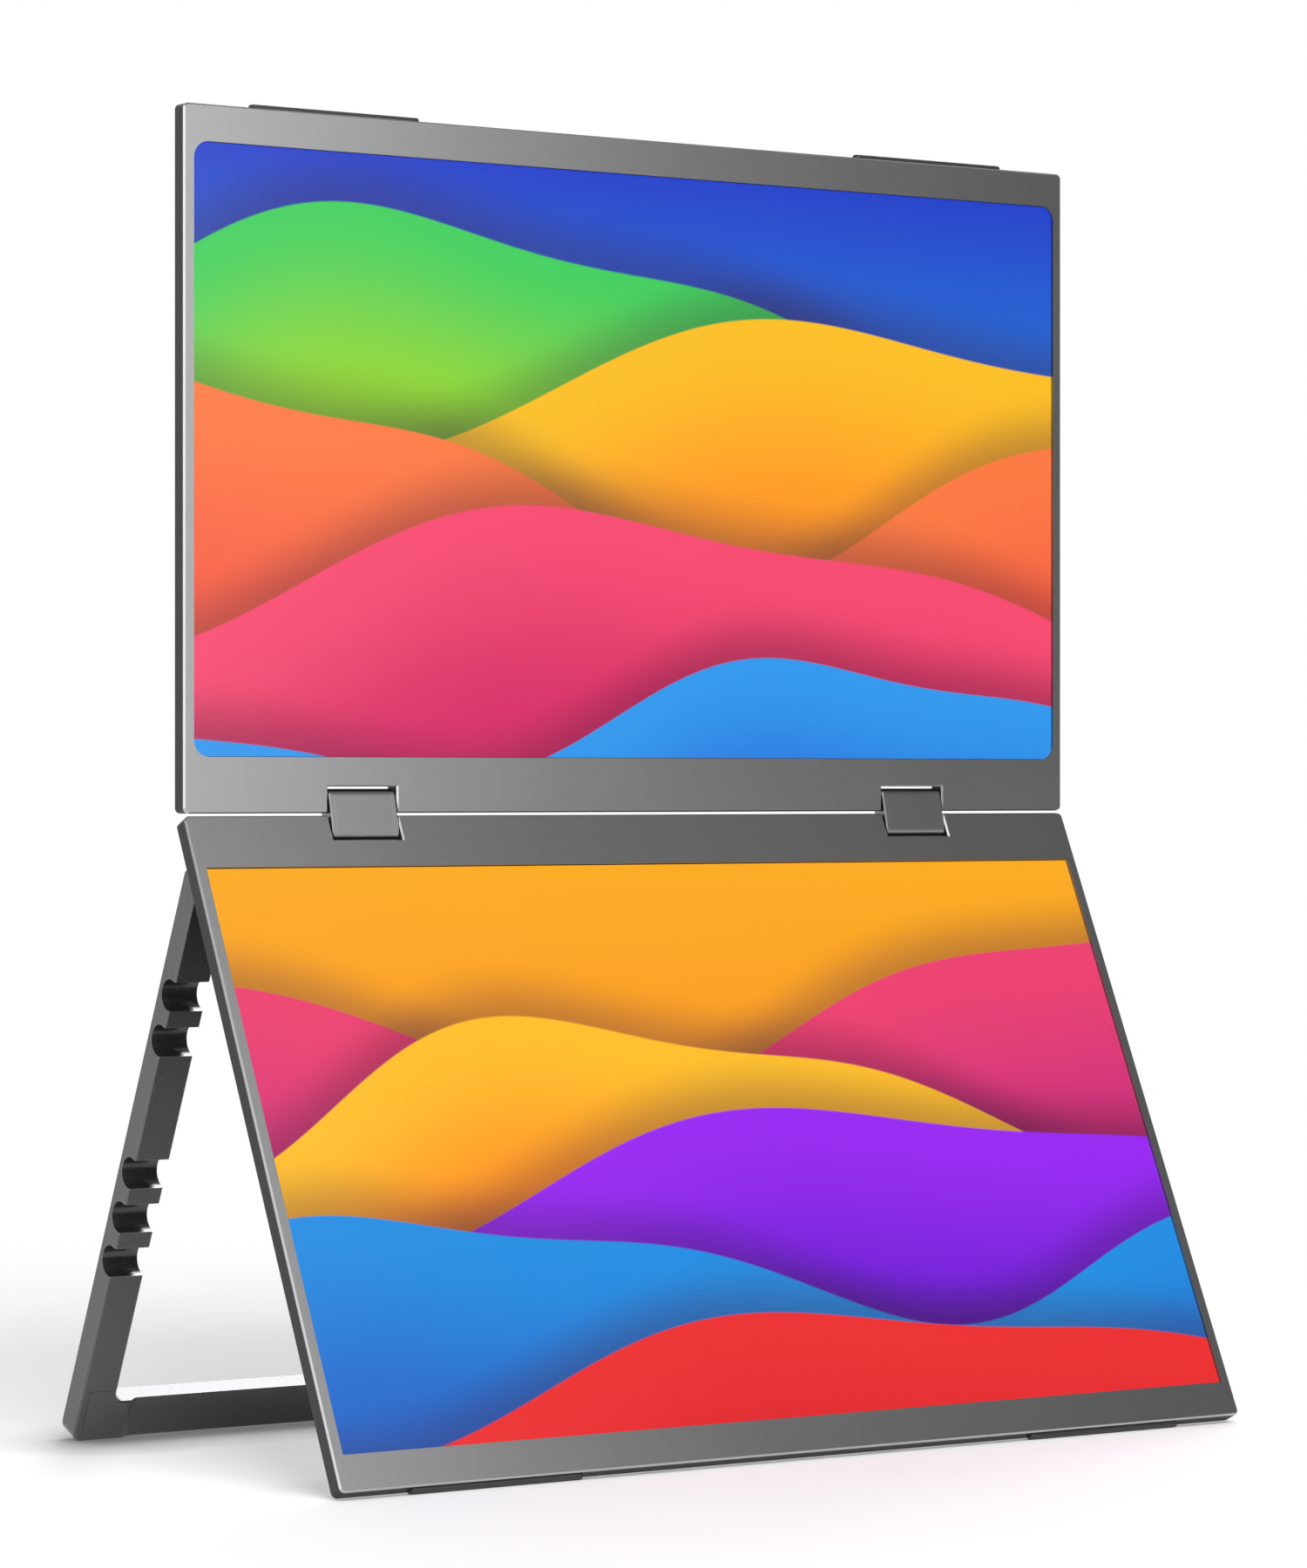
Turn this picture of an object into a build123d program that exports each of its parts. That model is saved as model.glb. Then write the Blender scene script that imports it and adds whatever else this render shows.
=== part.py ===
from build123d import *
import os
from math import cos, hypot, radians, sin

os.makedirs("parts", exist_ok=True)

# Screens, borders and panel shells
screen_width = 344.2
screen_height = 193.6
side_border = 3.65
hinge_border = 17.9
free_border = 11.7
panel_thickness = 6.4
panel_corner = 1.8
upper_screen_corner = 5.2
lower_screen_corner = 0.5
bezel_thickness = 0.8
bezel_chamfer = 0.5
cover_wall = 1.3
cover_floor = 1.0
cover_chamfer = 0.6

# Display stack behind each bezel
glass_thickness = 1.1
guide_thickness = 1.9
tray_sheet = 0.4
glass_border = 1.2
driver_border = 2.6
stack_clearance = 0.1
post_size = 6.0
post_side_margin = 22.1
post_end_margin = 21.8
post_columns = 6
post_rows = 3

# Rubber strips along the free edges
strip_length = 63.0
strip_inset = 25.3
strip_width = 3.6
strip_proud = 1.4
strip_round = 0.9
strip_groove = 0.8
foot_flat = 0.25

# Fold hinge between the panels
lower_tilt = 25.3
axis_inset = 4.7
fold_clearance = 0.36
hinge_inset = 65.5
link_radius = 3.1
link_width = 24.8
link_wall = 0.6
link_end_gap = 0.7
link_side_gap = 0.5
cap_thickness = 1.6
cap_chamfer = 0.4
shaft_radius = 1.5
shaft_flat = 0.4
bush_wall = 0.7
clip_rim = 0.6
clip_thickness = 0.6
stub_wall = 0.5
flange_rim = 0.5
flange_thickness = 0.5
running_fit = 0.04
seat_fit = 0.02
part_gap = 0.3

# Gears that keep both hinge axes at the same angle
gear_teeth = 12
gear_width = 3.6
gear_play = 0.2
tooth_tip_share = 0.7
tooth_root_share = 1.05
tooth_tip_width_share = 0.62
tooth_root_width_share = 1.85
idler_pin_radius = 0.6
idler_pin_bite = 0.8

# Hinge brackets inside the panels
bracket_sheet = 1.0
bracket_leg = 6.0
bracket_screw_radius = 0.7
bracket_screw_head = 1.4
bracket_screw_head_height = 0.7
screw_bite = 0.6
drive_span_share = 1.25
drive_slot_share = 0.4
drive_depth_share = 0.5

# Lead that crosses the hinge, and the boards that it joins
lead_radius = 1.0
lead_play = 0.2
board_thickness = 0.8
panel_board_end_gap = 9.25
panel_board_margin = 0.6
plug_length = 8.0
plug_width = 5.0
plug_height = 2.6
tail_width = 12.0
tail_thickness = 0.3
tail_on_board = 6.0
tail_slot_play = 1.0

# Rear housing on the lower panel
housing_inset = 25.75
housing_top = 42.0
housing_height = 130.0
housing_depth = 8.4
housing_wall = 1.6
housing_corner = 6.0
housing_chamfer = 1.2
housing_boss_radius = 2.75
housing_boss_margin = 5.5
housing_boss_inset = 30.0
housing_screw_radius = 1.0
housing_screw_head = 2.0
housing_screw_head_height = 1.4
vent_count = 14
vent_spacing = 8.0
vent_length = 14.0
vent_width = 2.0
vent_drop = 22.0
grille_count = 6
grille_spacing = 3.2
grille_length = 26.0
grille_slot = 1.4

# Boards, sockets, speakers and keys in the housing
main_board_lift = 1.6
main_board_sheet = 1.2
main_board_wing = 36.0
main_board_end_gap = 12.0
board_edge_gap = 2.4
board_top_gap = 9.0
standoff_radius = 2.5
port_pitch = 16.0
port_top_gap = 13.8
port_end_gap = 20.8
usb_width = 8.94
usb_height = 3.26
usb_length = 7.4
usb_wall = 0.3
usb_tongue_width = 6.7
usb_tongue_height = 0.7
hdmi_width = 11.2
hdmi_height = 3.2
hdmi_length = 7.6
hdmi_wall = 0.4
hdmi_chamfer = 0.9
hdmi_tongue_width = 8.6
hdmi_tongue_height = 0.8
socket_back = 1.2
socket_setback = 0.2
socket_play = 0.1
jack_width = 6.5
jack_height = 5.0
jack_length = 11.0
jack_ring_radius = 2.4
jack_bore_radius = 1.75
jack_lift = 0.6
speaker_length = 40.0
speaker_width = 22.0
speaker_depth = 6.4
speaker_board_gap = 20.0
speaker_row_gap = 19.0
speaker_end_gap = 34.0
cone_length = 34.0
cone_width = 16.0
cone_recess = 1.2
chip_height = 1.2
scaler_chip = 18.0
memory_chip = 14.0
power_chip = 12.0
key_length = 8.5
key_height = 3.0
key_proud = 0.8
key_chamfer = 0.3
key_travel = 0.5
key_play = 0.12
key_flange = 1.0
key_flange_thickness = 0.8
key_stem_radius = 1.0
switch_length = 6.0
switch_height = 3.0
switch_depth = 3.4

# Frame stand behind the lower panel
stand_tilt = 24.3
stand_inset = 3.25
arm_width = 12.8
arm_thickness = 9.0
stand_gap = 0.5
pivot_drop = 18.2
bar_height = 14.4
bar_recess = 2.1
bar_ramp_start = 18.0
bar_ramp_length = 4.5
bar_ramp_slope = 0.25
bar_overcut = 1.0
stand_corner = 4.0
arm_chamfer = 0.5
stand_inner_corner = 3.0
foot_round = 1.0
notch_width = 10.2
notch_depth = 6.6
pad_width = 7.3
pad_length = 14.7
pad_from_end = 4.2
pad_sunk = 0.8
pad_proud = 0.2
pad_play = 0.05
pin_radius = 2.0
pin_in_arm = 10.0
pin_thread_radius = 1.5
ear_thickness = 3.0
ear_rim = 2.3
ear_base_half = 6.0
ear_plate_length = 18.0
ear_plate_half = 8.0
ear_plate_sheet = 1.6
washer_thickness = 0.9
washer_play = 0.1
washer_rim = 1.8
nut_flats = 5.5
nut_thickness = 2.6
pin_end = 0.6
stand_screw_radius = 1.0
stand_screw_head = 2.0
stand_screw_head_height = 1.2
stand_screw_spread = 10.0

# Panel sizes that follow from the screens
panel_width = screen_width + 2 * side_border
panel_height = screen_height + hinge_border + free_border
front_z = panel_thickness / 2
bezel_back_z = front_z - bezel_thickness
glass_back_z = bezel_back_z - glass_thickness
guide_back_z = glass_back_z - guide_thickness
tray_back_z = guide_back_z - tray_sheet
floor_z = cover_floor - front_z
panel_middle = panel_height / 2 - axis_inset
free_edge = panel_height - axis_inset
screen_middle = hinge_border + screen_height / 2 - axis_inset
stack_width = screen_width + 2 * glass_border
stack_height = screen_height + glass_border + driver_border
stack_middle = screen_middle + (glass_border - driver_border) / 2
tray_margin = stack_clearance + tray_sheet
tray_low_edge = stack_middle - stack_height / 2 - tray_margin
strip_offset = panel_width / 2 - strip_inset - strip_length / 2
stand_width = panel_width - 2 * stand_inset
housing_width = panel_width - 2 * housing_inset

# Hinge sizes that follow from the panels
hinge_offset = panel_width / 2 - hinge_inset
edge_reach = hypot(axis_inset, front_z - bezel_chamfer)
face_reach = hypot(axis_inset - bezel_chamfer, front_z)
axis_spacing = 2 * max(edge_reach, face_reach) + fold_clearance
half_fold = lower_tilt / 2
cutout_width = link_width + 2 * link_side_gap
cutout_depth = axis_inset + link_radius + link_end_gap
chamber_radius = link_radius - link_wall
bush_radius = shaft_radius + running_fit + bush_wall
stub_bore_radius = lead_radius + lead_play
stub_radius = stub_bore_radius + stub_wall
clip_radius = shaft_radius + clip_rim
pitch_radius = axis_spacing / 6
gear_module = 2 * pitch_radius / gear_teeth
tooth_tip = pitch_radius + tooth_tip_share * gear_module
tooth_root = pitch_radius - tooth_root_share * gear_module
half_link = link_width / 2
cap_inner = half_link - cap_thickness
gear_chamber_end = cap_inner - gear_width - 2 * gear_play
lead_bend = axis_spacing / 2
lead_chamber_end = clip_thickness + lead_bend + 2 * lead_radius - cap_inner
wall_end = cutout_width / 2 + cover_wall
leg_start = wall_end + part_gap
leg_end = leg_start + bracket_leg
boss_radius = -floor_z
panel_board_half_length = hinge_offset - leg_end - panel_board_end_gap
strip_plate_low = cutout_depth - axis_inset + cover_wall + part_gap
strip_plate_high = tray_low_edge - part_gap
bracket_top_z = floor_z + bracket_sheet
bracket_screw_middle = (leg_start + leg_end) / 2
bracket_screw_height = (strip_plate_low + strip_plate_high) / 2
bracket_screw_places = [
    (side * hinge_offset + end * bracket_screw_middle, bracket_screw_height)
    for side in (-1, 1)
    for end in (-1, 1)
]

# Where the axes stand when the monitor is open on a desk
lower_angle = radians(lower_tilt)
fold_angle = radians(half_fold)
stand_angle = radians(stand_tilt)
lower_up = Vector(0, sin(lower_angle), cos(lower_angle))
lower_back = Vector(0, cos(lower_angle), -sin(lower_angle))
link_up = Vector(0, sin(fold_angle), cos(fold_angle))
link_front = Vector(0, -cos(fold_angle), sin(fold_angle))
stand_front = Vector(0, -cos(stand_angle), -sin(stand_angle))
pivot_depth = arm_thickness / 2 + stand_gap
pivot_rise = axis_inset - pivot_drop
pivot_from_axis = lower_up * pivot_rise + lower_back * (front_z + pivot_depth)
strip_tip = free_edge + strip_proud - strip_round
strip_side = strip_width / 2 - strip_round
axis_height = strip_tip * cos(lower_angle) + strip_side * sin(lower_angle) + strip_round - foot_flat
pivot_height = axis_height + pivot_from_axis.Z
foot_side = arm_thickness / 2 - foot_round
foot_drop = pivot_height + foot_flat - foot_round - foot_side * sin(stand_angle)
arm_length = foot_round + foot_drop / cos(stand_angle)
front_reach = (free_edge - bezel_chamfer) * sin(lower_angle) + front_z * cos(lower_angle)
foot_reach = (arm_length - foot_round) * sin(stand_angle) + foot_side * cos(stand_angle) + foot_round
back_reach = pivot_from_axis.Y + foot_reach
lower_axis = Vector(0, (front_reach - back_reach) / 2, axis_height)
upper_axis = lower_axis + link_up * axis_spacing
pivot_axis = lower_axis + pivot_from_axis

# Each panel frame has y running away from the hinge and z towards the viewer
upper = Plane(origin=upper_axis, x_dir=(1, 0, 0), z_dir=(0, -1, 0))
lower = Plane(origin=lower_axis, x_dir=(-1, 0, 0), z_dir=lower_back * -1)
link = Plane(origin=(lower_axis + upper_axis) * 0.5, x_dir=(1, 0, 0), z_dir=link_front)
stand = Plane(origin=pivot_axis, x_dir=(1, 0, 0), z_dir=stand_front)
# The rear frame has y running down the lower panel's back and z away from it
rear_origin = lower_axis + lower_up * axis_inset + lower_back * front_z
rear = Plane(origin=rear_origin, x_dir=(1, 0, 0), z_dir=lower_back)


def side_of(frame, x):
    """Plane across a frame at x, with the frame's y and z as its own x and y."""
    return Plane(origin=frame.from_local_coords((x, 0, 0)), x_dir=frame.y_dir, z_dir=frame.x_dir)


def free_end(frame, y):
    """Plane across a panel at y, facing away from the hinge."""
    return Plane(origin=frame.from_local_coords((0, y, 0)), x_dir=frame.x_dir, z_dir=frame.y_dir)


def outward(frame):
    """Axis along a frame's z, for sorting faces from back to front."""
    return Axis(frame.origin, frame.z_dir)


def finish(builder, label):
    """Label a finished piece and write it."""
    builder.part.label = label
    export_step(builder.part, f"parts/{label}.step")


def draw_panel_outline():
    """Panel outline with its two hinge cut-outs, in the sketch that is open."""
    with Locations((0, panel_middle)):
        RectangleRounded(panel_width, panel_height, panel_corner)
    with Locations((-hinge_offset, -axis_inset), (hinge_offset, -axis_inset)):
        Rectangle(cutout_width, 2 * cutout_depth, mode=Mode.SUBTRACT)


def draw_bracket_screws(radius):
    """Screw places on a pair of hinge brackets."""
    with Locations(*bracket_screw_places):
        Circle(radius)


def draw_drives(places, head_radius):
    """Cross recesses for screw heads, in the sketch that is open."""
    span = drive_span_share * head_radius
    slot = drive_slot_share * head_radius
    with Locations(*places):
        Rectangle(span, slot)
        Rectangle(slot, span)


def draw_gear(place, phase):
    """Gear outline with straight-sided teeth, turned by phase in tooth pitches."""
    tip = tooth_tip_width_share * gear_module / 2
    root = tooth_root_width_share * gear_module / 2
    start = tooth_root - root / 2
    with Locations((place, 0)):
        Circle(tooth_root)
        with PolarLocations(0, gear_teeth, start_angle=phase * 360 / gear_teeth):
            Polygon((start, -root), (tooth_tip, -tip), (tooth_tip, tip), (start, root))


def make_bezel(frame, opening_corner):
    """Thin metal front frame, with a bright chamfer round its outer edge."""
    with BuildPart() as bezel:
        with BuildSketch(frame.offset(bezel_back_z)):
            draw_panel_outline()
            with Locations((0, screen_middle)):
                RectangleRounded(screen_width, screen_height, opening_corner, mode=Mode.SUBTRACT)
        extrude(amount=bezel_thickness)
        front = bezel.faces().sort_by(outward(frame))[-1]
        chamfer(front.outer_wire().edges(), bezel_chamfer)
    return bezel


def make_back_cover(frame):
    """Shallow metal tray behind the bezel, with posts that carry the display."""
    with BuildPart() as cover:
        with BuildSketch(frame.offset(-front_z)):
            draw_panel_outline()
        extrude(amount=panel_thickness - bezel_thickness)
        back = cover.faces().sort_by(outward(frame))[0]
        chamfer(back.outer_wire().edges(), cover_chamfer)
        with BuildSketch(frame.offset(floor_z)):
            with Locations((0, panel_middle)):
                Rectangle(panel_width - 2 * cover_wall, panel_height - 2 * cover_wall)
            with Locations((-hinge_offset, -axis_inset), (hinge_offset, -axis_inset)):
                cavity_edge = 2 * (cutout_depth + cover_wall)
                Rectangle(cutout_width + 2 * cover_wall, cavity_edge, mode=Mode.SUBTRACT)
        extrude(amount=bezel_back_z - floor_z, mode=Mode.SUBTRACT)
        with BuildSketch(frame.offset(floor_z)):
            with Locations((0, screen_middle)):
                step_x = (screen_width - 2 * post_side_margin) / (post_columns - 1)
                step_y = (screen_height - 2 * post_end_margin) / (post_rows - 1)
                with GridLocations(step_x, step_y, post_columns, post_rows):
                    Rectangle(post_size, post_size)
        extrude(amount=tray_back_z - floor_z)
        for side in (-1, 1):
            with BuildSketch(side_of(frame, side * hinge_offset - wall_end)):
                Circle(stub_radius + part_gap)
            extrude(amount=2 * wall_end, mode=Mode.SUBTRACT)
        with BuildSketch(free_end(frame, free_edge - strip_groove)):
            with Locations((-strip_offset, 0), (strip_offset, 0)):
                SlotOverall(strip_length + 2 * pad_play, strip_width + 2 * pad_play)
        extrude(amount=strip_groove, mode=Mode.SUBTRACT)
        with BuildSketch(frame.offset(floor_z - screw_bite)):
            draw_bracket_screws(bracket_screw_radius)
        extrude(amount=screw_bite, mode=Mode.SUBTRACT)
    return cover


def make_screen(frame):
    """Display glass, held behind the bezel's opening."""
    with BuildPart() as glass:
        with BuildSketch(frame.offset(glass_back_z)):
            with Locations((0, stack_middle)):
                Rectangle(stack_width, stack_height)
        extrude(amount=glass_thickness)
    return glass


def make_light_guide(frame):
    """Clear plate that spreads the backlight behind the glass."""
    with BuildPart() as guide:
        with BuildSketch(frame.offset(guide_back_z)):
            with Locations((0, stack_middle)):
                Rectangle(stack_width, stack_height)
        extrude(amount=guide_thickness)
    return guide


def make_tray(frame):
    """Folded metal tray that holds the glass and the light guide together."""
    with BuildPart() as tray:
        with BuildSketch(frame.offset(tray_back_z)):
            with Locations((0, stack_middle)):
                Rectangle(stack_width + 2 * tray_margin, stack_height + 2 * tray_margin)
        extrude(amount=bezel_back_z - tray_back_z)
        with BuildSketch(frame.offset(guide_back_z)):
            with Locations((0, stack_middle)):
                Rectangle(stack_width + 2 * stack_clearance, stack_height + 2 * stack_clearance)
        extrude(amount=bezel_back_z - guide_back_z, mode=Mode.SUBTRACT)
    return tray


def make_strips(frame):
    """Two rubber strips pressed into the panel's free edge."""
    with BuildPart() as strips:
        with BuildSketch(free_end(frame, free_edge - strip_groove)):
            with Locations((-strip_offset, 0), (strip_offset, 0)):
                SlotOverall(strip_length, strip_width)
        extrude(amount=strip_groove + strip_proud)
        tips = strips.faces().group_by(Axis(frame.origin, frame.y_dir))[-1]
        fillet(tips.edges(), strip_round)
    return strips


def make_panel_board(frame):
    """Narrow board between the hinges that feeds the display."""
    low = cover_wall - axis_inset + panel_board_margin
    high = tray_low_edge - panel_board_margin
    with BuildPart() as board:
        with BuildSketch(frame.offset(floor_z)):
            with Locations((0, (low + high) / 2)):
                Rectangle(2 * panel_board_half_length, high - low)
        extrude(amount=board_thickness)
    return board


def make_brackets(frame):
    """Steel hinge brackets, with a round boss each side of the cut-out."""
    with BuildPart() as brackets:
        for side in (-1, 1):
            with BuildSketch(frame.offset(floor_z)):
                with Locations((side * hinge_offset, (strip_plate_low + strip_plate_high) / 2)):
                    Rectangle(2 * leg_end, strip_plate_high - strip_plate_low)
                leg_high = (strip_plate_high - boss_radius) / 2
                leg_middle = (leg_start + leg_end) / 2
                leg_places = [(side * hinge_offset + end * leg_middle, leg_high) for end in (-1, 1)]
                with Locations(*leg_places):
                    Rectangle(bracket_leg, strip_plate_high + boss_radius)
            extrude(amount=bracket_sheet)
            for end in (-1, 1):
                with BuildSketch(side_of(frame, side * (hinge_offset + end * leg_start))):
                    Circle(boss_radius)
                extrude(amount=side * end * bracket_leg)
            with BuildSketch(side_of(frame, side * (hinge_offset + leg_start))):
                draw_shaft_end(shaft_radius + seat_fit, shaft_flat - seat_fit)
            extrude(amount=side * bracket_leg, mode=Mode.SUBTRACT)
            with BuildSketch(side_of(frame, side * (hinge_offset - leg_start))):
                Circle(stub_radius + seat_fit)
            extrude(amount=-side * bracket_leg, mode=Mode.SUBTRACT)
        with BuildSketch(frame.offset(floor_z)):
            draw_bracket_screws(bracket_screw_radius)
        extrude(amount=bracket_sheet, mode=Mode.SUBTRACT)
    return brackets


def draw_shaft_end(radius, flat):
    """Round section with one flat that keeps a shaft from turning in its bracket."""
    Circle(radius)
    with Locations((0, 2 * radius - flat)):
        Rectangle(2 * radius, 2 * radius, mode=Mode.SUBTRACT)


def make_shafts(frame, gear_place, phase):
    """Hinge shafts with a small gear cut on each, flatted where the bracket grips."""
    shaft_start = lead_chamber_end - clip_thickness - part_gap
    gear_start = gear_chamber_end + gear_play
    with BuildPart() as shafts:
        for side in (-1, 1):
            with BuildSketch(side_of(frame, side * (hinge_offset + shaft_start))):
                Circle(shaft_radius)
            extrude(amount=side * (gear_start - shaft_start))
            with BuildSketch(side_of(link, side * (hinge_offset + gear_start))):
                draw_gear(gear_place, phase)
            extrude(amount=side * gear_width)
            with BuildSketch(side_of(frame, side * (hinge_offset + gear_start + gear_width))):
                Circle(shaft_radius)
            extrude(amount=side * (leg_start - gear_start - gear_width))
            with BuildSketch(side_of(frame, side * (hinge_offset + leg_start))):
                draw_shaft_end(shaft_radius, shaft_flat)
            extrude(amount=side * bracket_leg)
    return shafts


def make_clips(frame):
    """Retaining rings on the inner ends of the shafts."""
    with BuildPart() as clips:
        for side in (-1, 1):
            with BuildSketch(side_of(frame, side * (hinge_offset + lead_chamber_end - running_fit))):
                Circle(clip_radius)
                Circle(shaft_radius + seat_fit, mode=Mode.SUBTRACT)
            extrude(amount=-side * clip_thickness)
    return clips


def make_stubs(frame):
    """Hollow half-shafts on the inner side of each hinge, open for the lead."""
    with BuildPart() as stubs:
        for side in (-1, 1):
            with BuildSketch(side_of(frame, side * (hinge_offset - cap_inner + running_fit))):
                Circle(stub_radius + flange_rim)
                Circle(stub_bore_radius, mode=Mode.SUBTRACT)
            extrude(amount=side * flange_thickness)
            with BuildSketch(side_of(frame, side * (hinge_offset - cap_inner + running_fit))):
                Circle(stub_radius)
                Circle(stub_bore_radius, mode=Mode.SUBTRACT)
            extrude(amount=-side * (leg_end - cap_inner + running_fit))
    return stubs


def make_bracket_screws(frame):
    """Screws that hold the hinge brackets to the cover."""
    with BuildPart() as screws:
        with BuildSketch(frame.offset(floor_z - screw_bite)):
            draw_bracket_screws(bracket_screw_radius - seat_fit)
        extrude(amount=screw_bite + bracket_sheet)
        with BuildSketch(frame.offset(bracket_top_z)):
            draw_bracket_screws(bracket_screw_head)
        extrude(amount=bracket_screw_head_height)
        with BuildSketch(frame.offset(bracket_top_z + bracket_screw_head_height)):
            draw_drives(bracket_screw_places, bracket_screw_head)
        extrude(amount=-drive_depth_share * bracket_screw_head_height, mode=Mode.SUBTRACT)
    return screws


def make_panel_lead(frame, side):
    """Lead from the hinge to the panel's own board, with its moulded plug."""
    plug_end = panel_board_half_length
    with BuildPart() as lead:
        with BuildSketch(side_of(frame, side * (hinge_offset - half_link))):
            Circle(lead_radius)
        extrude(amount=-side * (hinge_offset - half_link - plug_end))
        with BuildSketch(side_of(frame, side * plug_end)):
            with Locations((0, floor_z + board_thickness + plug_height / 2)):
                Rectangle(plug_width, plug_height)
        extrude(amount=-side * plug_length)
    return lead


# The lead crosses the hinge on the right, which is the far side of the lower frame's x axis
lead_side = {"upper": 1, "lower": -1}
panels = {
    "upper": (upper, upper_screen_corner, axis_spacing / 2, 0.0),
    "lower": (lower, lower_screen_corner, -axis_spacing / 2, 0.5),
}
for name, (frame, opening_corner, gear_place, phase) in panels.items():
    finish(make_bezel(frame, opening_corner), f"{name}_bezel")
    finish(make_screen(frame), f"{name}_screen")
    finish(make_light_guide(frame), f"{name}_light_guide")
    finish(make_tray(frame), f"{name}_backlight_tray")
    finish(make_panel_board(frame), f"{name}_panel_board")
    finish(make_brackets(frame), f"{name}_hinge_brackets")
    finish(make_shafts(frame, gear_place, phase), f"{name}_hinge_shafts")
    finish(make_clips(frame), f"{name}_shaft_clips")
    finish(make_stubs(frame), f"{name}_hinge_stubs")
    finish(make_bracket_screws(frame), f"{name}_bracket_screws")
    finish(make_panel_lead(frame, lead_side[name]), f"{name}_lead")

finish(make_strips(upper), "upper_rubber_strips")
finish(make_back_cover(upper), "upper_back_cover")

# The lower strips are the front feet, cut flat where they meet the desk
with BuildPart() as lower_feet:
    add(make_strips(lower).part)
    split(bisect_by=Plane.XY, keep=Keep.TOP)
finish(lower_feet, "lower_rubber_feet")

# Hinge links: rounded blocks, hollow at one end for the gears and at the other for the lead
axis_places = [(-axis_spacing / 2, 0), (axis_spacing / 2, 0)]
idler_places = [(-axis_spacing / 6, 0), (axis_spacing / 6, 0)]
for side, label in ((-1, "left_hinge_link"), (1, "right_hinge_link")):
    with BuildPart() as hinge_link:
        with BuildSketch(side_of(link, side * (hinge_offset - cap_inner))):
            SlotCenterToCenter(axis_spacing, 2 * link_radius)
        extrude(amount=side * 2 * cap_inner)
        with BuildSketch(side_of(link, side * (hinge_offset + gear_chamber_end))):
            SlotCenterToCenter(axis_spacing, 2 * chamber_radius)
        extrude(amount=side * (cap_inner - gear_chamber_end), mode=Mode.SUBTRACT)
        with BuildSketch(side_of(link, side * (hinge_offset - cap_inner))):
            SlotCenterToCenter(axis_spacing, 2 * chamber_radius)
        extrude(amount=side * (lead_chamber_end + cap_inner), mode=Mode.SUBTRACT)
        with BuildSketch(side_of(link, side * (hinge_offset + lead_chamber_end))):
            with Locations(*axis_places):
                Circle(bush_radius + seat_fit)
        extrude(amount=side * (gear_chamber_end - lead_chamber_end), mode=Mode.SUBTRACT)
        with BuildSketch(side_of(link, side * (hinge_offset + gear_chamber_end))):
            with Locations(*idler_places):
                Circle(idler_pin_radius + seat_fit)
        extrude(amount=-side * 2 * idler_pin_bite, mode=Mode.SUBTRACT)
    finish(hinge_link, label)

with BuildPart() as outer_caps:
    for side in (-1, 1):
        with BuildSketch(side_of(link, side * (hinge_offset + cap_inner))):
            SlotCenterToCenter(axis_spacing, 2 * link_radius)
            with Locations(*axis_places):
                Circle(shaft_radius + running_fit, mode=Mode.SUBTRACT)
        extrude(amount=side * cap_thickness)
        with BuildSketch(side_of(link, side * (hinge_offset + cap_inner))):
            with Locations(*idler_places):
                Circle(idler_pin_radius + seat_fit)
        extrude(amount=side * idler_pin_bite, mode=Mode.SUBTRACT)
    ends = outer_caps.faces().filter_by(Axis.X).sort_by(Axis.X)
    chamfer(ends[0].outer_wire().edges() + ends[-1].outer_wire().edges(), cap_chamfer)
finish(outer_caps, "hinge_outer_caps")

with BuildPart() as inner_caps:
    for side in (-1, 1):
        with BuildSketch(side_of(link, side * (hinge_offset - half_link))):
            SlotCenterToCenter(axis_spacing, 2 * link_radius)
            with Locations(*axis_places):
                Circle(stub_radius + running_fit, mode=Mode.SUBTRACT)
        extrude(amount=side * cap_thickness)
    ends = inner_caps.faces().filter_by(Axis.X).sort_by(Axis.X)
    chamfer(ends[1].outer_wire().edges() + ends[2].outer_wire().edges(), cap_chamfer)
finish(inner_caps, "hinge_inner_caps")

with BuildPart() as friction_bushes:
    for side in (-1, 1):
        with BuildSketch(side_of(link, side * (hinge_offset + lead_chamber_end))):
            with Locations(*axis_places):
                Circle(bush_radius)
                Circle(shaft_radius + running_fit, mode=Mode.SUBTRACT)
        extrude(amount=side * (gear_chamber_end - lead_chamber_end))
finish(friction_bushes, "friction_bushes")

with BuildPart() as idler_pins:
    for side in (-1, 1):
        with BuildSketch(side_of(link, side * (hinge_offset + gear_chamber_end - 2 * idler_pin_bite))):
            with Locations(*idler_places):
                Circle(idler_pin_radius)
        extrude(amount=side * (cap_inner - gear_chamber_end + 3 * idler_pin_bite))
finish(idler_pins, "idler_pins")

for place, phase, label in (
    (idler_places[1][0], 0.5, "upper_idler_gears"),
    (idler_places[0][0], 0.0, "lower_idler_gears"),
):
    with BuildPart() as idlers:
        for side in (-1, 1):
            with BuildSketch(side_of(link, side * (hinge_offset + gear_chamber_end + gear_play))):
                draw_gear(place, phase)
                with Locations((place, 0)):
                    Circle(idler_pin_radius + running_fit, mode=Mode.SUBTRACT)
            extrude(amount=side * gear_width)
    finish(idlers, label)

# The lead turns back on itself inside the right-hand link
with BuildPart() as link_lead:
    lead_end = hinge_offset - half_link
    bend_start = hinge_offset - cap_inner + lead_radius
    with BuildLine(link) as lead_path:
        rise = axis_spacing / 2
        Line((lead_end, -rise), (bend_start, -rise))
        ThreePointArc((bend_start, -rise), (bend_start + lead_bend, 0), (bend_start, rise))
        Line((bend_start, rise), (lead_end, rise))
    with BuildSketch(Plane(origin=lead_path.line @ 0, z_dir=lead_path.line % 0)):
        Circle(lead_radius)
    sweep(path=lead_path.line)
finish(link_lead, "link_lead")

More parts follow.
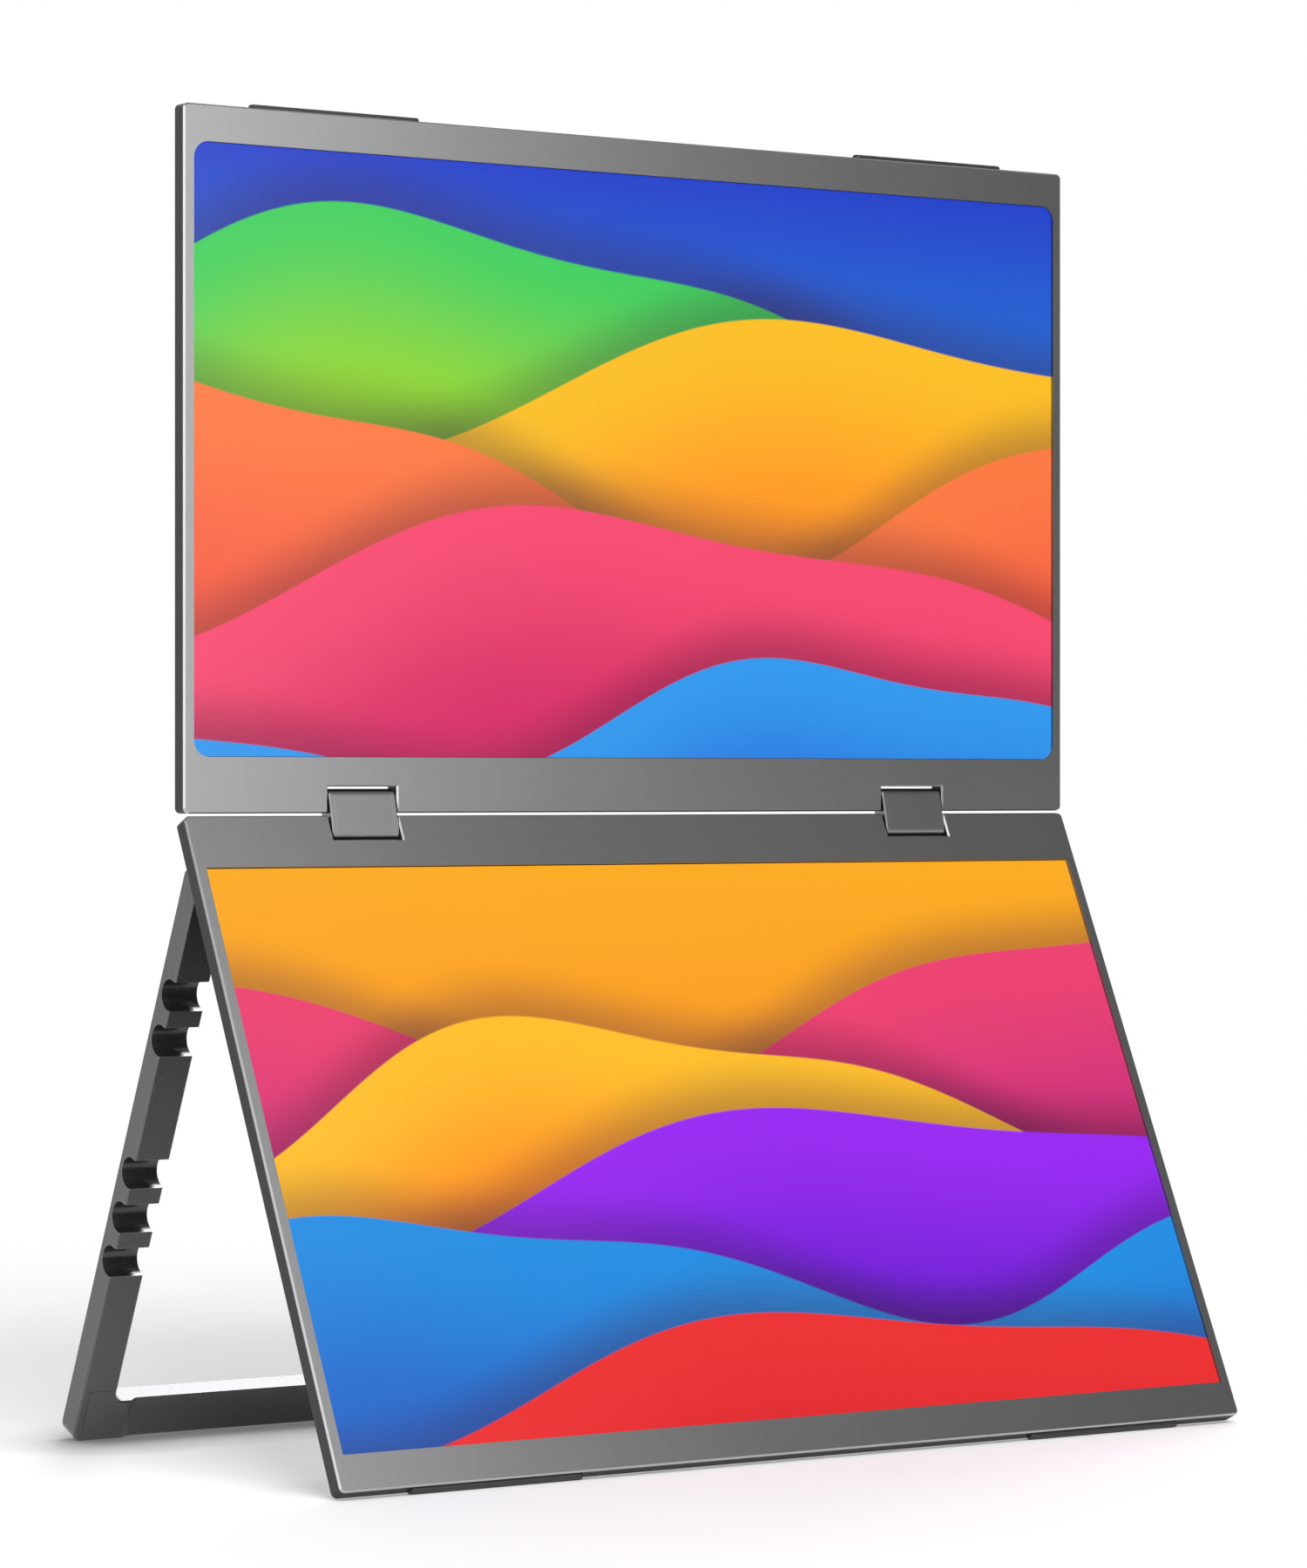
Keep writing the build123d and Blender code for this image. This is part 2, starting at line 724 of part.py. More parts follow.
# Places on the lower panel's back, measured down from its hinge edge
housing_bottom = housing_top + housing_height
housing_middle = housing_top + housing_height / 2
housing_side = housing_width / 2
inner_side = housing_side - housing_wall
roof_z = housing_depth - housing_wall
upper_ports_start = housing_top + port_top_gap - pivot_drop
lower_ports_start = housing_bottom - port_end_gap - 2 * port_pitch - pivot_drop
upper_ports = [pivot_drop + upper_ports_start + i * port_pitch for i in range(2)]
lower_ports = [pivot_drop + lower_ports_start + i * port_pitch for i in range(3)]
board_side = housing_side - housing_wall - board_edge_gap
board_top = housing_top + board_top_gap
board_back_z = main_board_lift + main_board_sheet
speaker_offset = board_side - main_board_wing - speaker_board_gap - speaker_length / 2
speaker_drop = housing_bottom - speaker_end_gap
main_board_strip = speaker_drop - speaker_width / 2 - speaker_row_gap - board_top
main_board_wing_drop = housing_bottom - main_board_end_gap - board_top
wing_middle = board_top + main_board_wing_drop / 2
tail_drop = board_top + tail_on_board
standoff_places = [
    (-board_side + main_board_wing / 2, wing_middle - port_pitch / 2),
    (board_side - main_board_wing / 2, wing_middle - port_pitch / 2),
    (-speaker_offset / 2, board_top + main_board_strip / 2),
    (speaker_offset / 2, board_top + main_board_strip / 2),
]
boss_rows = (housing_top + housing_boss_margin, housing_bottom - housing_boss_margin)
boss_column = housing_side - housing_boss_inset
boss_places = [(x * boss_column, row) for x in (-1, 0, 1) for row in boss_rows]
arm_inner = stand_width / 2 - arm_width
ear_outer = arm_inner - washer_thickness - 2 * washer_play
ear_inner = ear_outer - ear_thickness
plate_middle = ear_outer - ear_plate_length / 2
screw_column = plate_middle - ear_thickness
stand_screw_places = [
    (side * screw_column, pivot_drop + end * stand_screw_spread / 2) for side in (-1, 1) for end in (-1, 1)
]

with BuildPart() as lower_back_cover:
    add(make_back_cover(lower).part)
    with BuildSketch(rear):
        with Locations(*standoff_places):
            Circle(standoff_radius)
    extrude(amount=main_board_lift)
    with BuildSketch(rear):
        with Locations((0, tail_drop)):
            Rectangle(tail_width + 2 * tail_slot_play, tail_thickness + 2 * tail_slot_play)
    extrude(amount=-cover_floor, mode=Mode.SUBTRACT)
    with BuildSketch(rear):
        with Locations(*boss_places):
            Circle(housing_screw_radius)
        with Locations(*stand_screw_places):
            Circle(stand_screw_radius)
    extrude(amount=-screw_bite, mode=Mode.SUBTRACT)
finish(lower_back_cover, "lower_back_cover")

# Flat tail that carries the signal from the lower panel's board to the main board
tail_front_z = floor_z + board_thickness
tail_low = cover_wall - axis_inset + panel_board_margin
with BuildPart() as flex_tail:
    with BuildSketch(lower.offset(tail_front_z)):
        tail_end = tail_drop - axis_inset + tail_thickness / 2
        with Locations((0, (tail_low + tail_end) / 2)):
            Rectangle(tail_width, tail_end - tail_low)
    extrude(amount=tail_thickness)
    with BuildSketch(rear.offset(main_board_lift)):
        with Locations((0, tail_drop)):
            Rectangle(tail_width, tail_thickness)
    extrude(amount=-(main_board_lift + front_z + tail_front_z))
finish(flex_tail, "flex_tail")


def draw_usb(place, grow):
    """Rounded outline of a small reversible socket."""
    with Locations((place, board_back_z + usb_height / 2)):
        SlotOverall(usb_width + 2 * grow, usb_height + 2 * grow)


def draw_hdmi(place, grow):
    """Outline of a small video socket, with its two lower corners cut."""
    half = hdmi_width / 2 + grow
    low = board_back_z - grow
    high = board_back_z + hdmi_height + grow
    with Locations((place, 0)):
        Polygon(
            (-half, low),
            (half, low),
            (half, high - hdmi_chamfer),
            (half - hdmi_chamfer, high),
            (hdmi_chamfer - half, high),
            (-half, high - hdmi_chamfer),
        )


def draw_jack_ring(radius):
    """Round mouth of the audio socket."""
    with Locations((lower_ports[2], jack_lift + jack_height / 2)):
        Circle(radius)


def draw_key(place, grow):
    """Rounded outline of a push key on the housing's side."""
    with Locations((place, board_back_z + switch_height / 2)):
        SlotOverall(key_length + 2 * grow, key_height + 2 * grow)


keys = dict(zip(("power_key", "menu_key", "plus_key", "minus_key"), upper_ports + lower_ports[:2]))
usb_places = [(-1, lower_ports[0]), (-1, lower_ports[1]), (1, lower_ports[2])]

with BuildPart() as rear_housing:
    with BuildSketch(rear):
        with Locations((0, housing_middle)):
            RectangleRounded(housing_width, housing_height, housing_corner)
    extrude(amount=housing_depth)
    roof = rear_housing.faces().sort_by(outward(rear))[-1]
    chamfer(roof.outer_wire().edges(), housing_chamfer)
    mouth = rear_housing.faces().sort_by(outward(rear))[0]
    offset(amount=-housing_wall, openings=mouth)
    with BuildSketch(rear):
        with Locations(*boss_places):
            Circle(housing_boss_radius)
    extrude(amount=roof_z)
    with Locations(rear.offset(housing_depth)):
        with Locations(*boss_places):
            CounterBoreHole(
                housing_screw_radius + seat_fit,
                housing_screw_head + socket_play,
                housing_screw_head_height,
                housing_depth,
            )
    with BuildSketch(rear.offset(roof_z)):
        with Locations((0, housing_top + vent_drop)):
            with GridLocations(vent_spacing, 0, vent_count, 1):
                Rectangle(vent_width, vent_length)
        for side in (-1, 1):
            with Locations((side * speaker_offset, speaker_drop)):
                with GridLocations(0, grille_spacing, 1, grille_count):
                    Rectangle(grille_length, grille_slot)
    extrude(amount=housing_wall, mode=Mode.SUBTRACT)
    with BuildSketch(side_of(rear, -housing_side)):
        for place in upper_ports:
            draw_hdmi(place, socket_play)
        for place in lower_ports[:2]:
            draw_usb(place, socket_play)
        draw_jack_ring(jack_ring_radius + socket_play)
    extrude(amount=housing_wall, mode=Mode.SUBTRACT)
    with BuildSketch(side_of(rear, housing_side)):
        for place in keys.values():
            draw_key(place, key_play)
        draw_usb(lower_ports[2], socket_play)
    extrude(amount=-housing_wall, mode=Mode.SUBTRACT)
finish(rear_housing, "rear_housing")

with BuildPart() as housing_screws:
    with BuildSketch(rear.offset(-screw_bite)):
        with Locations(*boss_places):
            Circle(housing_screw_radius - seat_fit)
    extrude(amount=screw_bite + housing_depth - housing_screw_head_height)
    with BuildSketch(rear.offset(housing_depth - housing_screw_head_height)):
        with Locations(*boss_places):
            Circle(housing_screw_head)
    extrude(amount=housing_screw_head_height - socket_setback)
    with BuildSketch(rear.offset(housing_depth - socket_setback)):
        draw_drives(boss_places, housing_screw_head)
    extrude(amount=-drive_depth_share * housing_screw_head_height, mode=Mode.SUBTRACT)
finish(housing_screws, "housing_screws")

with BuildPart() as main_board:
    with BuildSketch(rear.offset(main_board_lift)):
        with Locations((0, board_top + main_board_strip / 2)):
            Rectangle(2 * board_side, main_board_strip)
        wing_x = board_side - main_board_wing / 2
        with Locations((-wing_x, wing_middle), (wing_x, wing_middle)):
            Rectangle(main_board_wing, main_board_wing_drop)
        with Locations((-housing_side, lower_ports[2])):
            notch_length = 2 * (jack_length + socket_setback + socket_play)
            Rectangle(notch_length, jack_width + 2 * socket_play, mode=Mode.SUBTRACT)
    extrude(amount=main_board_sheet)
finish(main_board, "main_board")

with BuildPart() as board_chips:
    chip_row = board_top + main_board_strip / 2
    for place, size in ((-speaker_offset, scaler_chip), (0, memory_chip), (speaker_offset, power_chip)):
        with BuildSketch(rear.offset(board_back_z)):
            with Locations((place, chip_row)):
                Rectangle(size, size)
        extrude(amount=chip_height)
finish(board_chips, "board_chips")

with BuildPart() as usb_c_sockets:
    for side, place in usb_places:
        mouth_x = side * (housing_side - socket_setback)
        with BuildSketch(side_of(rear, mouth_x)):
            draw_usb(place, 0)
        extrude(amount=-side * usb_length)
        with BuildSketch(side_of(rear, mouth_x)):
            draw_usb(place, -usb_wall)
        extrude(amount=-side * (usb_length - socket_back), mode=Mode.SUBTRACT)
        with BuildSketch(side_of(rear, mouth_x - side * socket_back)):
            with Locations((place, board_back_z + usb_height / 2)):
                Rectangle(usb_tongue_width, usb_tongue_height)
        extrude(amount=-side * (usb_length - 2 * socket_back))
finish(usb_c_sockets, "usb_c_sockets")

with BuildPart() as mini_hdmi_sockets:
    mouth_x = socket_setback - housing_side
    for place in upper_ports:
        with BuildSketch(side_of(rear, mouth_x)):
            draw_hdmi(place, 0)
        extrude(amount=hdmi_length)
        with BuildSketch(side_of(rear, mouth_x)):
            draw_hdmi(place, -hdmi_wall)
        extrude(amount=hdmi_length - socket_back, mode=Mode.SUBTRACT)
        with BuildSketch(side_of(rear, mouth_x + socket_back)):
            with Locations((place, board_back_z + hdmi_height / 2)):
                Rectangle(hdmi_tongue_width, hdmi_tongue_height)
        extrude(amount=hdmi_length - 2 * socket_back)
finish(mini_hdmi_sockets, "mini_hdmi_sockets")

with BuildPart() as audio_socket:
    ring_x = socket_setback - housing_side
    body_x = -inner_side + socket_play
    with BuildSketch(side_of(rear, body_x)):
        with Locations((lower_ports[2], jack_lift + jack_height / 2)):
            Rectangle(jack_width, jack_height)
    extrude(amount=jack_length - (body_x - ring_x))
    with BuildSketch(side_of(rear, ring_x)):
        draw_jack_ring(jack_ring_radius)
    extrude(amount=body_x - ring_x)
    with BuildSketch(side_of(rear, ring_x)):
        draw_jack_ring(jack_bore_radius)
    extrude(amount=jack_length - socket_back, mode=Mode.SUBTRACT)
finish(audio_socket, "audio_socket")

for side, label in ((-1, "left_speaker"), (1, "right_speaker")):
    with BuildPart() as speaker:
        with BuildSketch(rear):
            with Locations((side * speaker_offset, speaker_drop)):
                Rectangle(speaker_length, speaker_width)
        extrude(amount=speaker_depth)
        with BuildSketch(rear.offset(speaker_depth)):
            with Locations((side * speaker_offset, speaker_drop)):
                SlotOverall(cone_length, cone_width)
                SlotOverall(cone_length - cone_width / 2, cone_width / 2, mode=Mode.SUBTRACT)
        extrude(amount=-cone_recess, mode=Mode.SUBTRACT)
    finish(speaker, label)

switch_front = inner_side - key_flange_thickness - key_travel - 2 * key_play
switch_x = switch_front - key_play
with BuildPart() as key_switches:
    with BuildSketch(side_of(rear, switch_x)):
        with Locations(*[(place, board_back_z + switch_height / 2) for place in keys.values()]):
            Rectangle(switch_length, switch_height)
    extrude(amount=-switch_depth)
finish(key_switches, "key_switches")

# Push keys: a cap through the side wall, with a flange inside that keeps it in
for label, place in keys.items():
    with BuildPart() as key:
        with BuildSketch(side_of(rear, inner_side - key_play)):
            draw_key(place, 0)
        extrude(amount=housing_wall + key_proud + key_play)
        cap_face = key.faces().sort_by(Axis.X)[-1]
        chamfer(cap_face.edges(), key_chamfer)
        with BuildSketch(side_of(rear, inner_side - key_play)):
            draw_key(place, key_flange / 2)
        extrude(amount=-key_flange_thickness)
    finish(key, label)

# Stand hinge: an ear each side of the lower panel's back, with a pin into the stand's arm
with BuildPart() as stand_brackets:
    for side in (-1, 1):
        with BuildSketch(rear):
            with Locations((side * plate_middle, pivot_drop)):
                Rectangle(ear_plate_length, 2 * ear_plate_half)
        extrude(amount=ear_plate_sheet)
        with BuildSketch(side_of(rear, side * ear_inner)):
            with Locations((pivot_drop, pivot_depth)):
                Circle(pin_radius + ear_rim)
            with Locations((pivot_drop, pivot_depth / 2)):
                Trapezoid(2 * ear_base_half, pivot_depth, 70)
            with Locations((pivot_drop, pivot_depth)):
                Circle(pin_radius + seat_fit, mode=Mode.SUBTRACT)
        extrude(amount=side * ear_thickness)
    with BuildSketch(rear):
        with Locations(*stand_screw_places):
            Circle(stand_screw_radius)
    extrude(amount=ear_plate_sheet, mode=Mode.SUBTRACT)
finish(stand_brackets, "stand_brackets")

with BuildPart() as stand_bracket_screws:
    with BuildSketch(rear.offset(-screw_bite)):
        with Locations(*stand_screw_places):
            Circle(stand_screw_radius - seat_fit)
    extrude(amount=screw_bite + ear_plate_sheet)
    with BuildSketch(rear.offset(ear_plate_sheet)):
        with Locations(*stand_screw_places):
            Circle(stand_screw_head)
    extrude(amount=stand_screw_head_height)
    with BuildSketch(rear.offset(ear_plate_sheet + stand_screw_head_height)):
        draw_drives(stand_screw_places, stand_screw_head)
    extrude(amount=-drive_depth_share * stand_screw_head_height, mode=Mode.SUBTRACT)
finish(stand_bracket_screws, "stand_bracket_screws")

pin_start = ear_inner - nut_thickness - pin_end
with BuildPart() as stand_pins:
    for side in (-1, 1):
        with BuildSketch(side_of(stand, side * pin_start)):
            Circle(pin_thread_radius)
        extrude(amount=side * (ear_inner - pin_start))
        with BuildSketch(side_of(stand, side * ear_inner)):
            Circle(pin_radius)
        extrude(amount=side * (arm_inner + pin_in_arm - ear_inner))
finish(stand_pins, "stand_pins")

with BuildPart() as stand_pin_nuts:
    for side in (-1, 1):
        with BuildSketch(side_of(stand, side * ear_inner)):
            RegularPolygon(nut_flats / 2, 6, major_radius=False)
            Circle(pin_thread_radius + seat_fit, mode=Mode.SUBTRACT)
        extrude(amount=-side * nut_thickness)
finish(stand_pin_nuts, "stand_pin_nuts")

with BuildPart() as friction_washers:
    for side in (-1, 1):
        with BuildSketch(side_of(stand, side * (ear_outer + washer_play))):
            Circle(pin_radius + washer_rim)
            Circle(pin_radius + seat_fit, mode=Mode.SUBTRACT)
        extrude(amount=side * washer_thickness)
finish(friction_washers, "friction_washers")

# Frame stand: two notched arms and a bar that steps back between them
stand_side = stand_width / 2
half_arm = arm_thickness / 2
notch_radius = notch_width / 2
notch_places = [-(upper_ports_start + i * port_pitch) for i in range(2)]
notch_places += [-(lower_ports_start + i * port_pitch) for i in range(3)]
ramp_start = stand_side - bar_ramp_start
ramp_end = ramp_start - bar_ramp_length
bar_front = half_arm - bar_recess
bar_clear = half_arm + bar_overcut
mouth_depth = notch_depth - notch_radius
with BuildPart() as stand_frame:
    with BuildSketch(stand.offset(-half_arm)):
        RectangleRounded(stand_width, 2 * arm_length, stand_corner)
        with Locations((0, bar_height)):
            RectangleRounded(2 * arm_inner, 2 * arm_length, stand_inner_corner, mode=Mode.SUBTRACT)
    extrude(amount=arm_thickness)
    faces = stand_frame.faces().sort_by(outward(stand))
    chamfer(faces[0].edges() + faces[-1].edges(), arm_chamfer)
    with BuildSketch(side_of(stand, -stand_side)) as arm_profile:
        with Locations((-arm_length / 2, 0)):
            Rectangle(arm_length, arm_thickness)
        fillet(arm_profile.vertices().sort_by(Axis.X)[:2], foot_round)
        Circle(half_arm)
        with Locations(*[(place, half_arm - notch_depth + notch_radius) for place in notch_places]):
            Circle(notch_radius, mode=Mode.SUBTRACT)
        with Locations(*[(place, half_arm) for place in notch_places]):
            Rectangle(notch_width, 2 * mouth_depth, mode=Mode.SUBTRACT)
    extrude(amount=stand_width, mode=Mode.INTERSECT)
    with BuildSketch(free_end(stand, -arm_length - bar_overcut)):
        with BuildLine():
            Line((-ramp_start, -bar_clear), (ramp_start, -bar_clear))
            Line((ramp_start, -bar_clear), (ramp_start, -half_arm))
            into_recess = ((-1, bar_ramp_slope), (-1, 0))
            Spline((ramp_start, -half_arm), (ramp_end, -bar_front), tangents=into_recess)
            Line((ramp_end, -bar_front), (-ramp_end, -bar_front))
            out_of_recess = ((-1, 0), (-1, -bar_ramp_slope))
            Spline((-ramp_end, -bar_front), (-ramp_start, -half_arm), tangents=out_of_recess)
            Line((-ramp_start, -half_arm), (-ramp_start, -bar_clear))
        make_face()
    extrude(amount=bar_height + 2 * bar_overcut, mode=Mode.SUBTRACT)
    with BuildSketch(stand.offset(half_arm - pad_sunk)):
        pad_middle = pad_from_end + pad_length / 2 - arm_length
        pad_x = stand_side - arm_width / 2
        with Locations((-pad_x, pad_middle), (pad_x, pad_middle)):
            Rectangle(pad_width + 2 * pad_play, pad_length + 2 * pad_play)
    extrude(amount=pad_sunk, mode=Mode.SUBTRACT)
    for side in (-1, 1):
        with BuildSketch(side_of(stand, side * arm_inner)):
            Circle(pin_radius + running_fit)
        extrude(amount=side * (pin_in_arm + part_gap), mode=Mode.SUBTRACT)
    split(bisect_by=Plane.XY, keep=Keep.TOP)
finish(stand_frame, "stand_frame")

with BuildPart() as stand_pads:
    with BuildSketch(stand.offset(half_arm - pad_sunk)):
        with Locations((-pad_x, pad_middle), (pad_x, pad_middle)):
            Rectangle(pad_width, pad_length)
    extrude(amount=pad_sunk + pad_proud)
finish(stand_pads, "stand_pads")
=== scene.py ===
from math import cos, radians, sin

import bpy
from mathutils import Color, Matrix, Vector


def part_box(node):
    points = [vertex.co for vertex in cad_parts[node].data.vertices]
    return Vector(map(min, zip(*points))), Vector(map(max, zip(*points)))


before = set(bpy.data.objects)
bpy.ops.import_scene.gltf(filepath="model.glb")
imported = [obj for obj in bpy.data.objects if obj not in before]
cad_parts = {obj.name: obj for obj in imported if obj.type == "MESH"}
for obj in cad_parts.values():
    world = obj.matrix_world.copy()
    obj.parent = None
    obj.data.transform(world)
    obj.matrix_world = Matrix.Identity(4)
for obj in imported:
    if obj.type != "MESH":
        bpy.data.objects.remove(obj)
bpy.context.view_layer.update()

# Back covers
# Shallow trays of die-cast light metal behind each display, coated dark grey with a fine satin grain.
# They carry everything else in the panel, and their sides show beside the bezels.
noise_middle = 0.5
grain_detail = 2.0
mottle_scale = 14.0
mottle_detail = 1.0
mottle_share = 0.35
# Edge marks: partly worn coat, partly a painted highlight, made paler by these amounts
wear_and_painted_light_width = 0.0004
wear_and_painted_light_sharpness = 5.0
wear_and_painted_light_patch_scale = 160.0
wear_and_painted_light_least = 0.2
wear_and_painted_light_gain = 2.5
wear_and_painted_light_lift = 0.02
cover_shine = 0.2
# The mix node's sockets for the factor and both colours, and for the mixed colour
mix_colour_inputs = (0, 6, 7)
mix_colour_output = 2


def start_material(name):
    """New node material; returns it with its tree and its shader."""
    material = bpy.data.materials.new(name)
    material.use_nodes = True
    tree = material.node_tree
    return material, tree, tree.nodes["Principled BSDF"]


def calc(tree, operation, *values):
    """Math node that works on sockets or numbers."""
    node = tree.nodes.new("ShaderNodeMath")
    node.operation = operation
    for socket, value in zip(node.inputs, values):
        if isinstance(value, (int, float)):
            socket.default_value = value
        else:
            tree.links.new(value, socket)
    return node.outputs[0]


def blend_colours(tree, factor, first, second):
    """Mix node for colours; the factor is a socket, and each colour is a socket or a colour."""
    node = tree.nodes.new("ShaderNodeMix")
    node.data_type = "RGBA"
    for index, value in zip(mix_colour_inputs, (factor, first, second)):
        if isinstance(value, bpy.types.NodeSocket):
            tree.links.new(value, node.inputs[index])
        else:
            node.inputs[index].default_value = (*value, 1.0)
    return node.outputs[mix_colour_output]


def add_sockets(group, in_out, kind, *names):
    """Give a node group sockets of one kind."""
    for name in names:
        group.interface.new_socket(name=name, in_out=in_out, socket_type=kind)


def make_satin_grain():
    """Group for coated or moulded surfaces: fine grain, faint slow mottling and a matching roughness."""
    group = bpy.data.node_groups.new("Satin grain", "ShaderNodeTree")
    add_sockets(group, "INPUT", "NodeSocketColor", "Colour")
    add_sockets(group, "INPUT", "NodeSocketFloat", "Spread", "Grain size", "Roughness")
    add_sockets(group, "OUTPUT", "NodeSocketColor", "Colour")
    add_sockets(group, "OUTPUT", "NodeSocketFloat", "Roughness", "Height")
    given = group.nodes.new("NodeGroupInput")
    result = group.nodes.new("NodeGroupOutput")
    place = group.nodes.new("ShaderNodeTexCoord")
    grain = group.nodes.new("ShaderNodeTexNoise")
    grain.inputs["Detail"].default_value = grain_detail
    group.links.new(place.outputs["Object"], grain.inputs["Vector"])
    group.links.new(calc(group, "DIVIDE", 1.0, given.outputs["Grain size"]), grain.inputs["Scale"])
    mottle = group.nodes.new("ShaderNodeTexNoise")
    mottle.inputs["Scale"].default_value = mottle_scale
    mottle.inputs["Detail"].default_value = mottle_detail
    group.links.new(place.outputs["Object"], mottle.inputs["Vector"])
    fine = calc(group, "SUBTRACT", grain.outputs["Fac"], noise_middle)
    slow = calc(group, "SUBTRACT", mottle.outputs["Fac"], noise_middle)
    both = calc(group, "ADD", fine, calc(group, "MULTIPLY", slow, mottle_share))
    swing = calc(group, "MULTIPLY", both, given.outputs["Spread"])
    tint = group.nodes.new("ShaderNodeVectorMath")
    tint.operation = "SCALE"
    group.links.new(given.outputs["Colour"], tint.inputs[0])
    group.links.new(calc(group, "ADD", swing, 1.0), tint.inputs["Scale"])
    group.links.new(tint.outputs[0], result.inputs["Colour"])
    group.links.new(calc(group, "ADD", given.outputs["Roughness"], swing), result.inputs["Roughness"])
    group.links.new(grain.outputs["Fac"], result.inputs["Height"])
    return group


def make_wear_and_painted_light_group():
    """Group that marks the edges of a solid, in patches, for worn coat and for painted highlight or shade.
    """
    group = bpy.data.node_groups.new("Edge wear and painted light", "ShaderNodeTree")
    add_sockets(group, "INPUT", "NodeSocketFloat", "Width")
    add_sockets(group, "OUTPUT", "NodeSocketFloat", "Edge")
    given = group.nodes.new("NodeGroupInput")
    result = group.nodes.new("NodeGroupOutput")
    rounded = group.nodes.new("ShaderNodeBevel")
    group.links.new(given.outputs["Width"], rounded.inputs["Radius"])
    surface = group.nodes.new("ShaderNodeNewGeometry")
    likeness = group.nodes.new("ShaderNodeVectorMath")
    likeness.operation = "DOT_PRODUCT"
    group.links.new(rounded.outputs["Normal"], likeness.inputs[0])
    group.links.new(surface.outputs["Normal"], likeness.inputs[1])
    unlike = calc(group, "SUBTRACT", 1.0, likeness.outputs["Value"])
    turned = calc(group, "MULTIPLY", unlike, wear_and_painted_light_sharpness)
    place = group.nodes.new("ShaderNodeTexCoord")
    patches = group.nodes.new("ShaderNodeTexNoise")
    patches.inputs["Scale"].default_value = wear_and_painted_light_patch_scale
    group.links.new(place.outputs["Object"], patches.inputs["Vector"])
    patchy = calc(group, "MULTIPLY", turned, calc(group, "ADD", patches.outputs["Fac"], wear_and_painted_light_least))
    group.links.new(calc(group, "MINIMUM", patchy, 1.0), result.inputs["Edge"])
    return group


satin_grain = make_satin_grain()
wear_and_painted_light_group = make_wear_and_painted_light_group()


def satin_material(
    name, colour, roughness, grain_size, spread=0.1, bump=0.05, metallic=0.0, edge_wear_and_painted_light=0.0, edge_colour=None
):
    """Coated or moulded surface with the satin grain; its edges turn paler or take edge_colour, partly as
    wear and partly as painted highlight or shade.
    """
    material, tree, shader = start_material(name)
    grain = tree.nodes.new("ShaderNodeGroup")
    grain.node_tree = satin_grain
    grain.inputs["Colour"].default_value = (*colour, 1.0)
    grain.inputs["Spread"].default_value = spread
    grain.inputs["Grain size"].default_value = grain_size
    grain.inputs["Roughness"].default_value = roughness
    shade = grain.outputs["Colour"]
    # Paler edges stand for worn coat and a painted highlight; a dark edge_colour gives painted shade
    if edge_wear_and_painted_light > 0.0:
        edge = tree.nodes.new("ShaderNodeGroup")
        edge.node_tree = wear_and_painted_light_group
        edge.inputs["Width"].default_value = wear_and_painted_light_width
        wear_and_painted_light_share = calc(tree, "MULTIPLY", edge.outputs["Edge"], edge_wear_and_painted_light)
        paler = [min(wear_and_painted_light_gain * part + wear_and_painted_light_lift, 1.0) for part in colour]
        shade = blend_colours(tree, wear_and_painted_light_share, shade, edge_colour or paler)
    tree.links.new(shade, shader.inputs["Base Color"])
    tree.links.new(grain.outputs["Roughness"], shader.inputs["Roughness"])
    relief = tree.nodes.new("ShaderNodeBump")
    relief.inputs["Strength"].default_value = bump
    relief.inputs["Distance"].default_value = grain_size
    tree.links.new(grain.outputs["Height"], relief.inputs["Height"])
    tree.links.new(relief.outputs["Normal"], shader.inputs["Normal"])
    shader.inputs["Metallic"].default_value = metallic
    return material


def dress(material, *nodes):
    """Give CAD nodes their material."""
    for node in nodes:
        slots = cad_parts[node].data.materials
        slots.clear()
        slots.append(material)


cover_metal = satin_material(
    "dark cover coat",
    colour=(0.032, 0.032, 0.034),
    roughness=0.42,
    grain_size=0.0002,
    spread=0.14,
    bump=0.1,
    edge_wear_and_painted_light=0.35,
)
cover_metal.node_tree.nodes["Principled BSDF"].inputs["Specular IOR Level"].default_value = cover_shine
dress(cover_metal, "upper_back_cover", "lower_back_cover")

# Backlight trays
# Folded bright sheet that holds the glass and the light guide together as one display.
# Rolled with fine lines along its length, and hidden once the bezel is on.
line_stretch = (60.0, 5000.0, 5000.0)
line_detail = 2.0
line_depth = 0.00005


def make_drawn_lines():
    """Group for rolled, ground or turned metal: fine lines along the length, and a matching roughness."""
    group = bpy.data.node_groups.new("Drawn lines", "ShaderNodeTree")
    add_sockets(group, "INPUT", "NodeSocketColor", "Colour")
    add_sockets(group, "INPUT", "NodeSocketFloat", "Spread", "Roughness")
    add_sockets(group, "OUTPUT", "NodeSocketColor", "Colour")
    add_sockets(group, "OUTPUT", "NodeSocketFloat", "Roughness", "Height")
    given = group.nodes.new("NodeGroupInput")
    result = group.nodes.new("NodeGroupOutput")
    place = group.nodes.new("ShaderNodeTexCoord")
    stretch = group.nodes.new("ShaderNodeMapping")
    stretch.inputs["Scale"].default_value = line_stretch
    group.links.new(place.outputs["Object"], stretch.inputs["Vector"])
    lines = group.nodes.new("ShaderNodeTexNoise")
    lines.inputs["Scale"].default_value = 1.0
    lines.inputs["Detail"].default_value = line_detail
    group.links.new(stretch.outputs["Vector"], lines.inputs["Vector"])
    fine = calc(group, "SUBTRACT", lines.outputs["Fac"], noise_middle)
    swing = calc(group, "MULTIPLY", fine, given.outputs["Spread"])
    tint = group.nodes.new("ShaderNodeVectorMath")
    tint.operation = "SCALE"
    group.links.new(given.outputs["Colour"], tint.inputs[0])
    group.links.new(calc(group, "ADD", swing, 1.0), tint.inputs["Scale"])
    group.links.new(tint.outputs[0], result.inputs["Colour"])
    group.links.new(calc(group, "ADD", given.outputs["Roughness"], swing), result.inputs["Roughness"])
    group.links.new(lines.outputs["Fac"], result.inputs["Height"])
    return group


drawn_lines = make_drawn_lines()


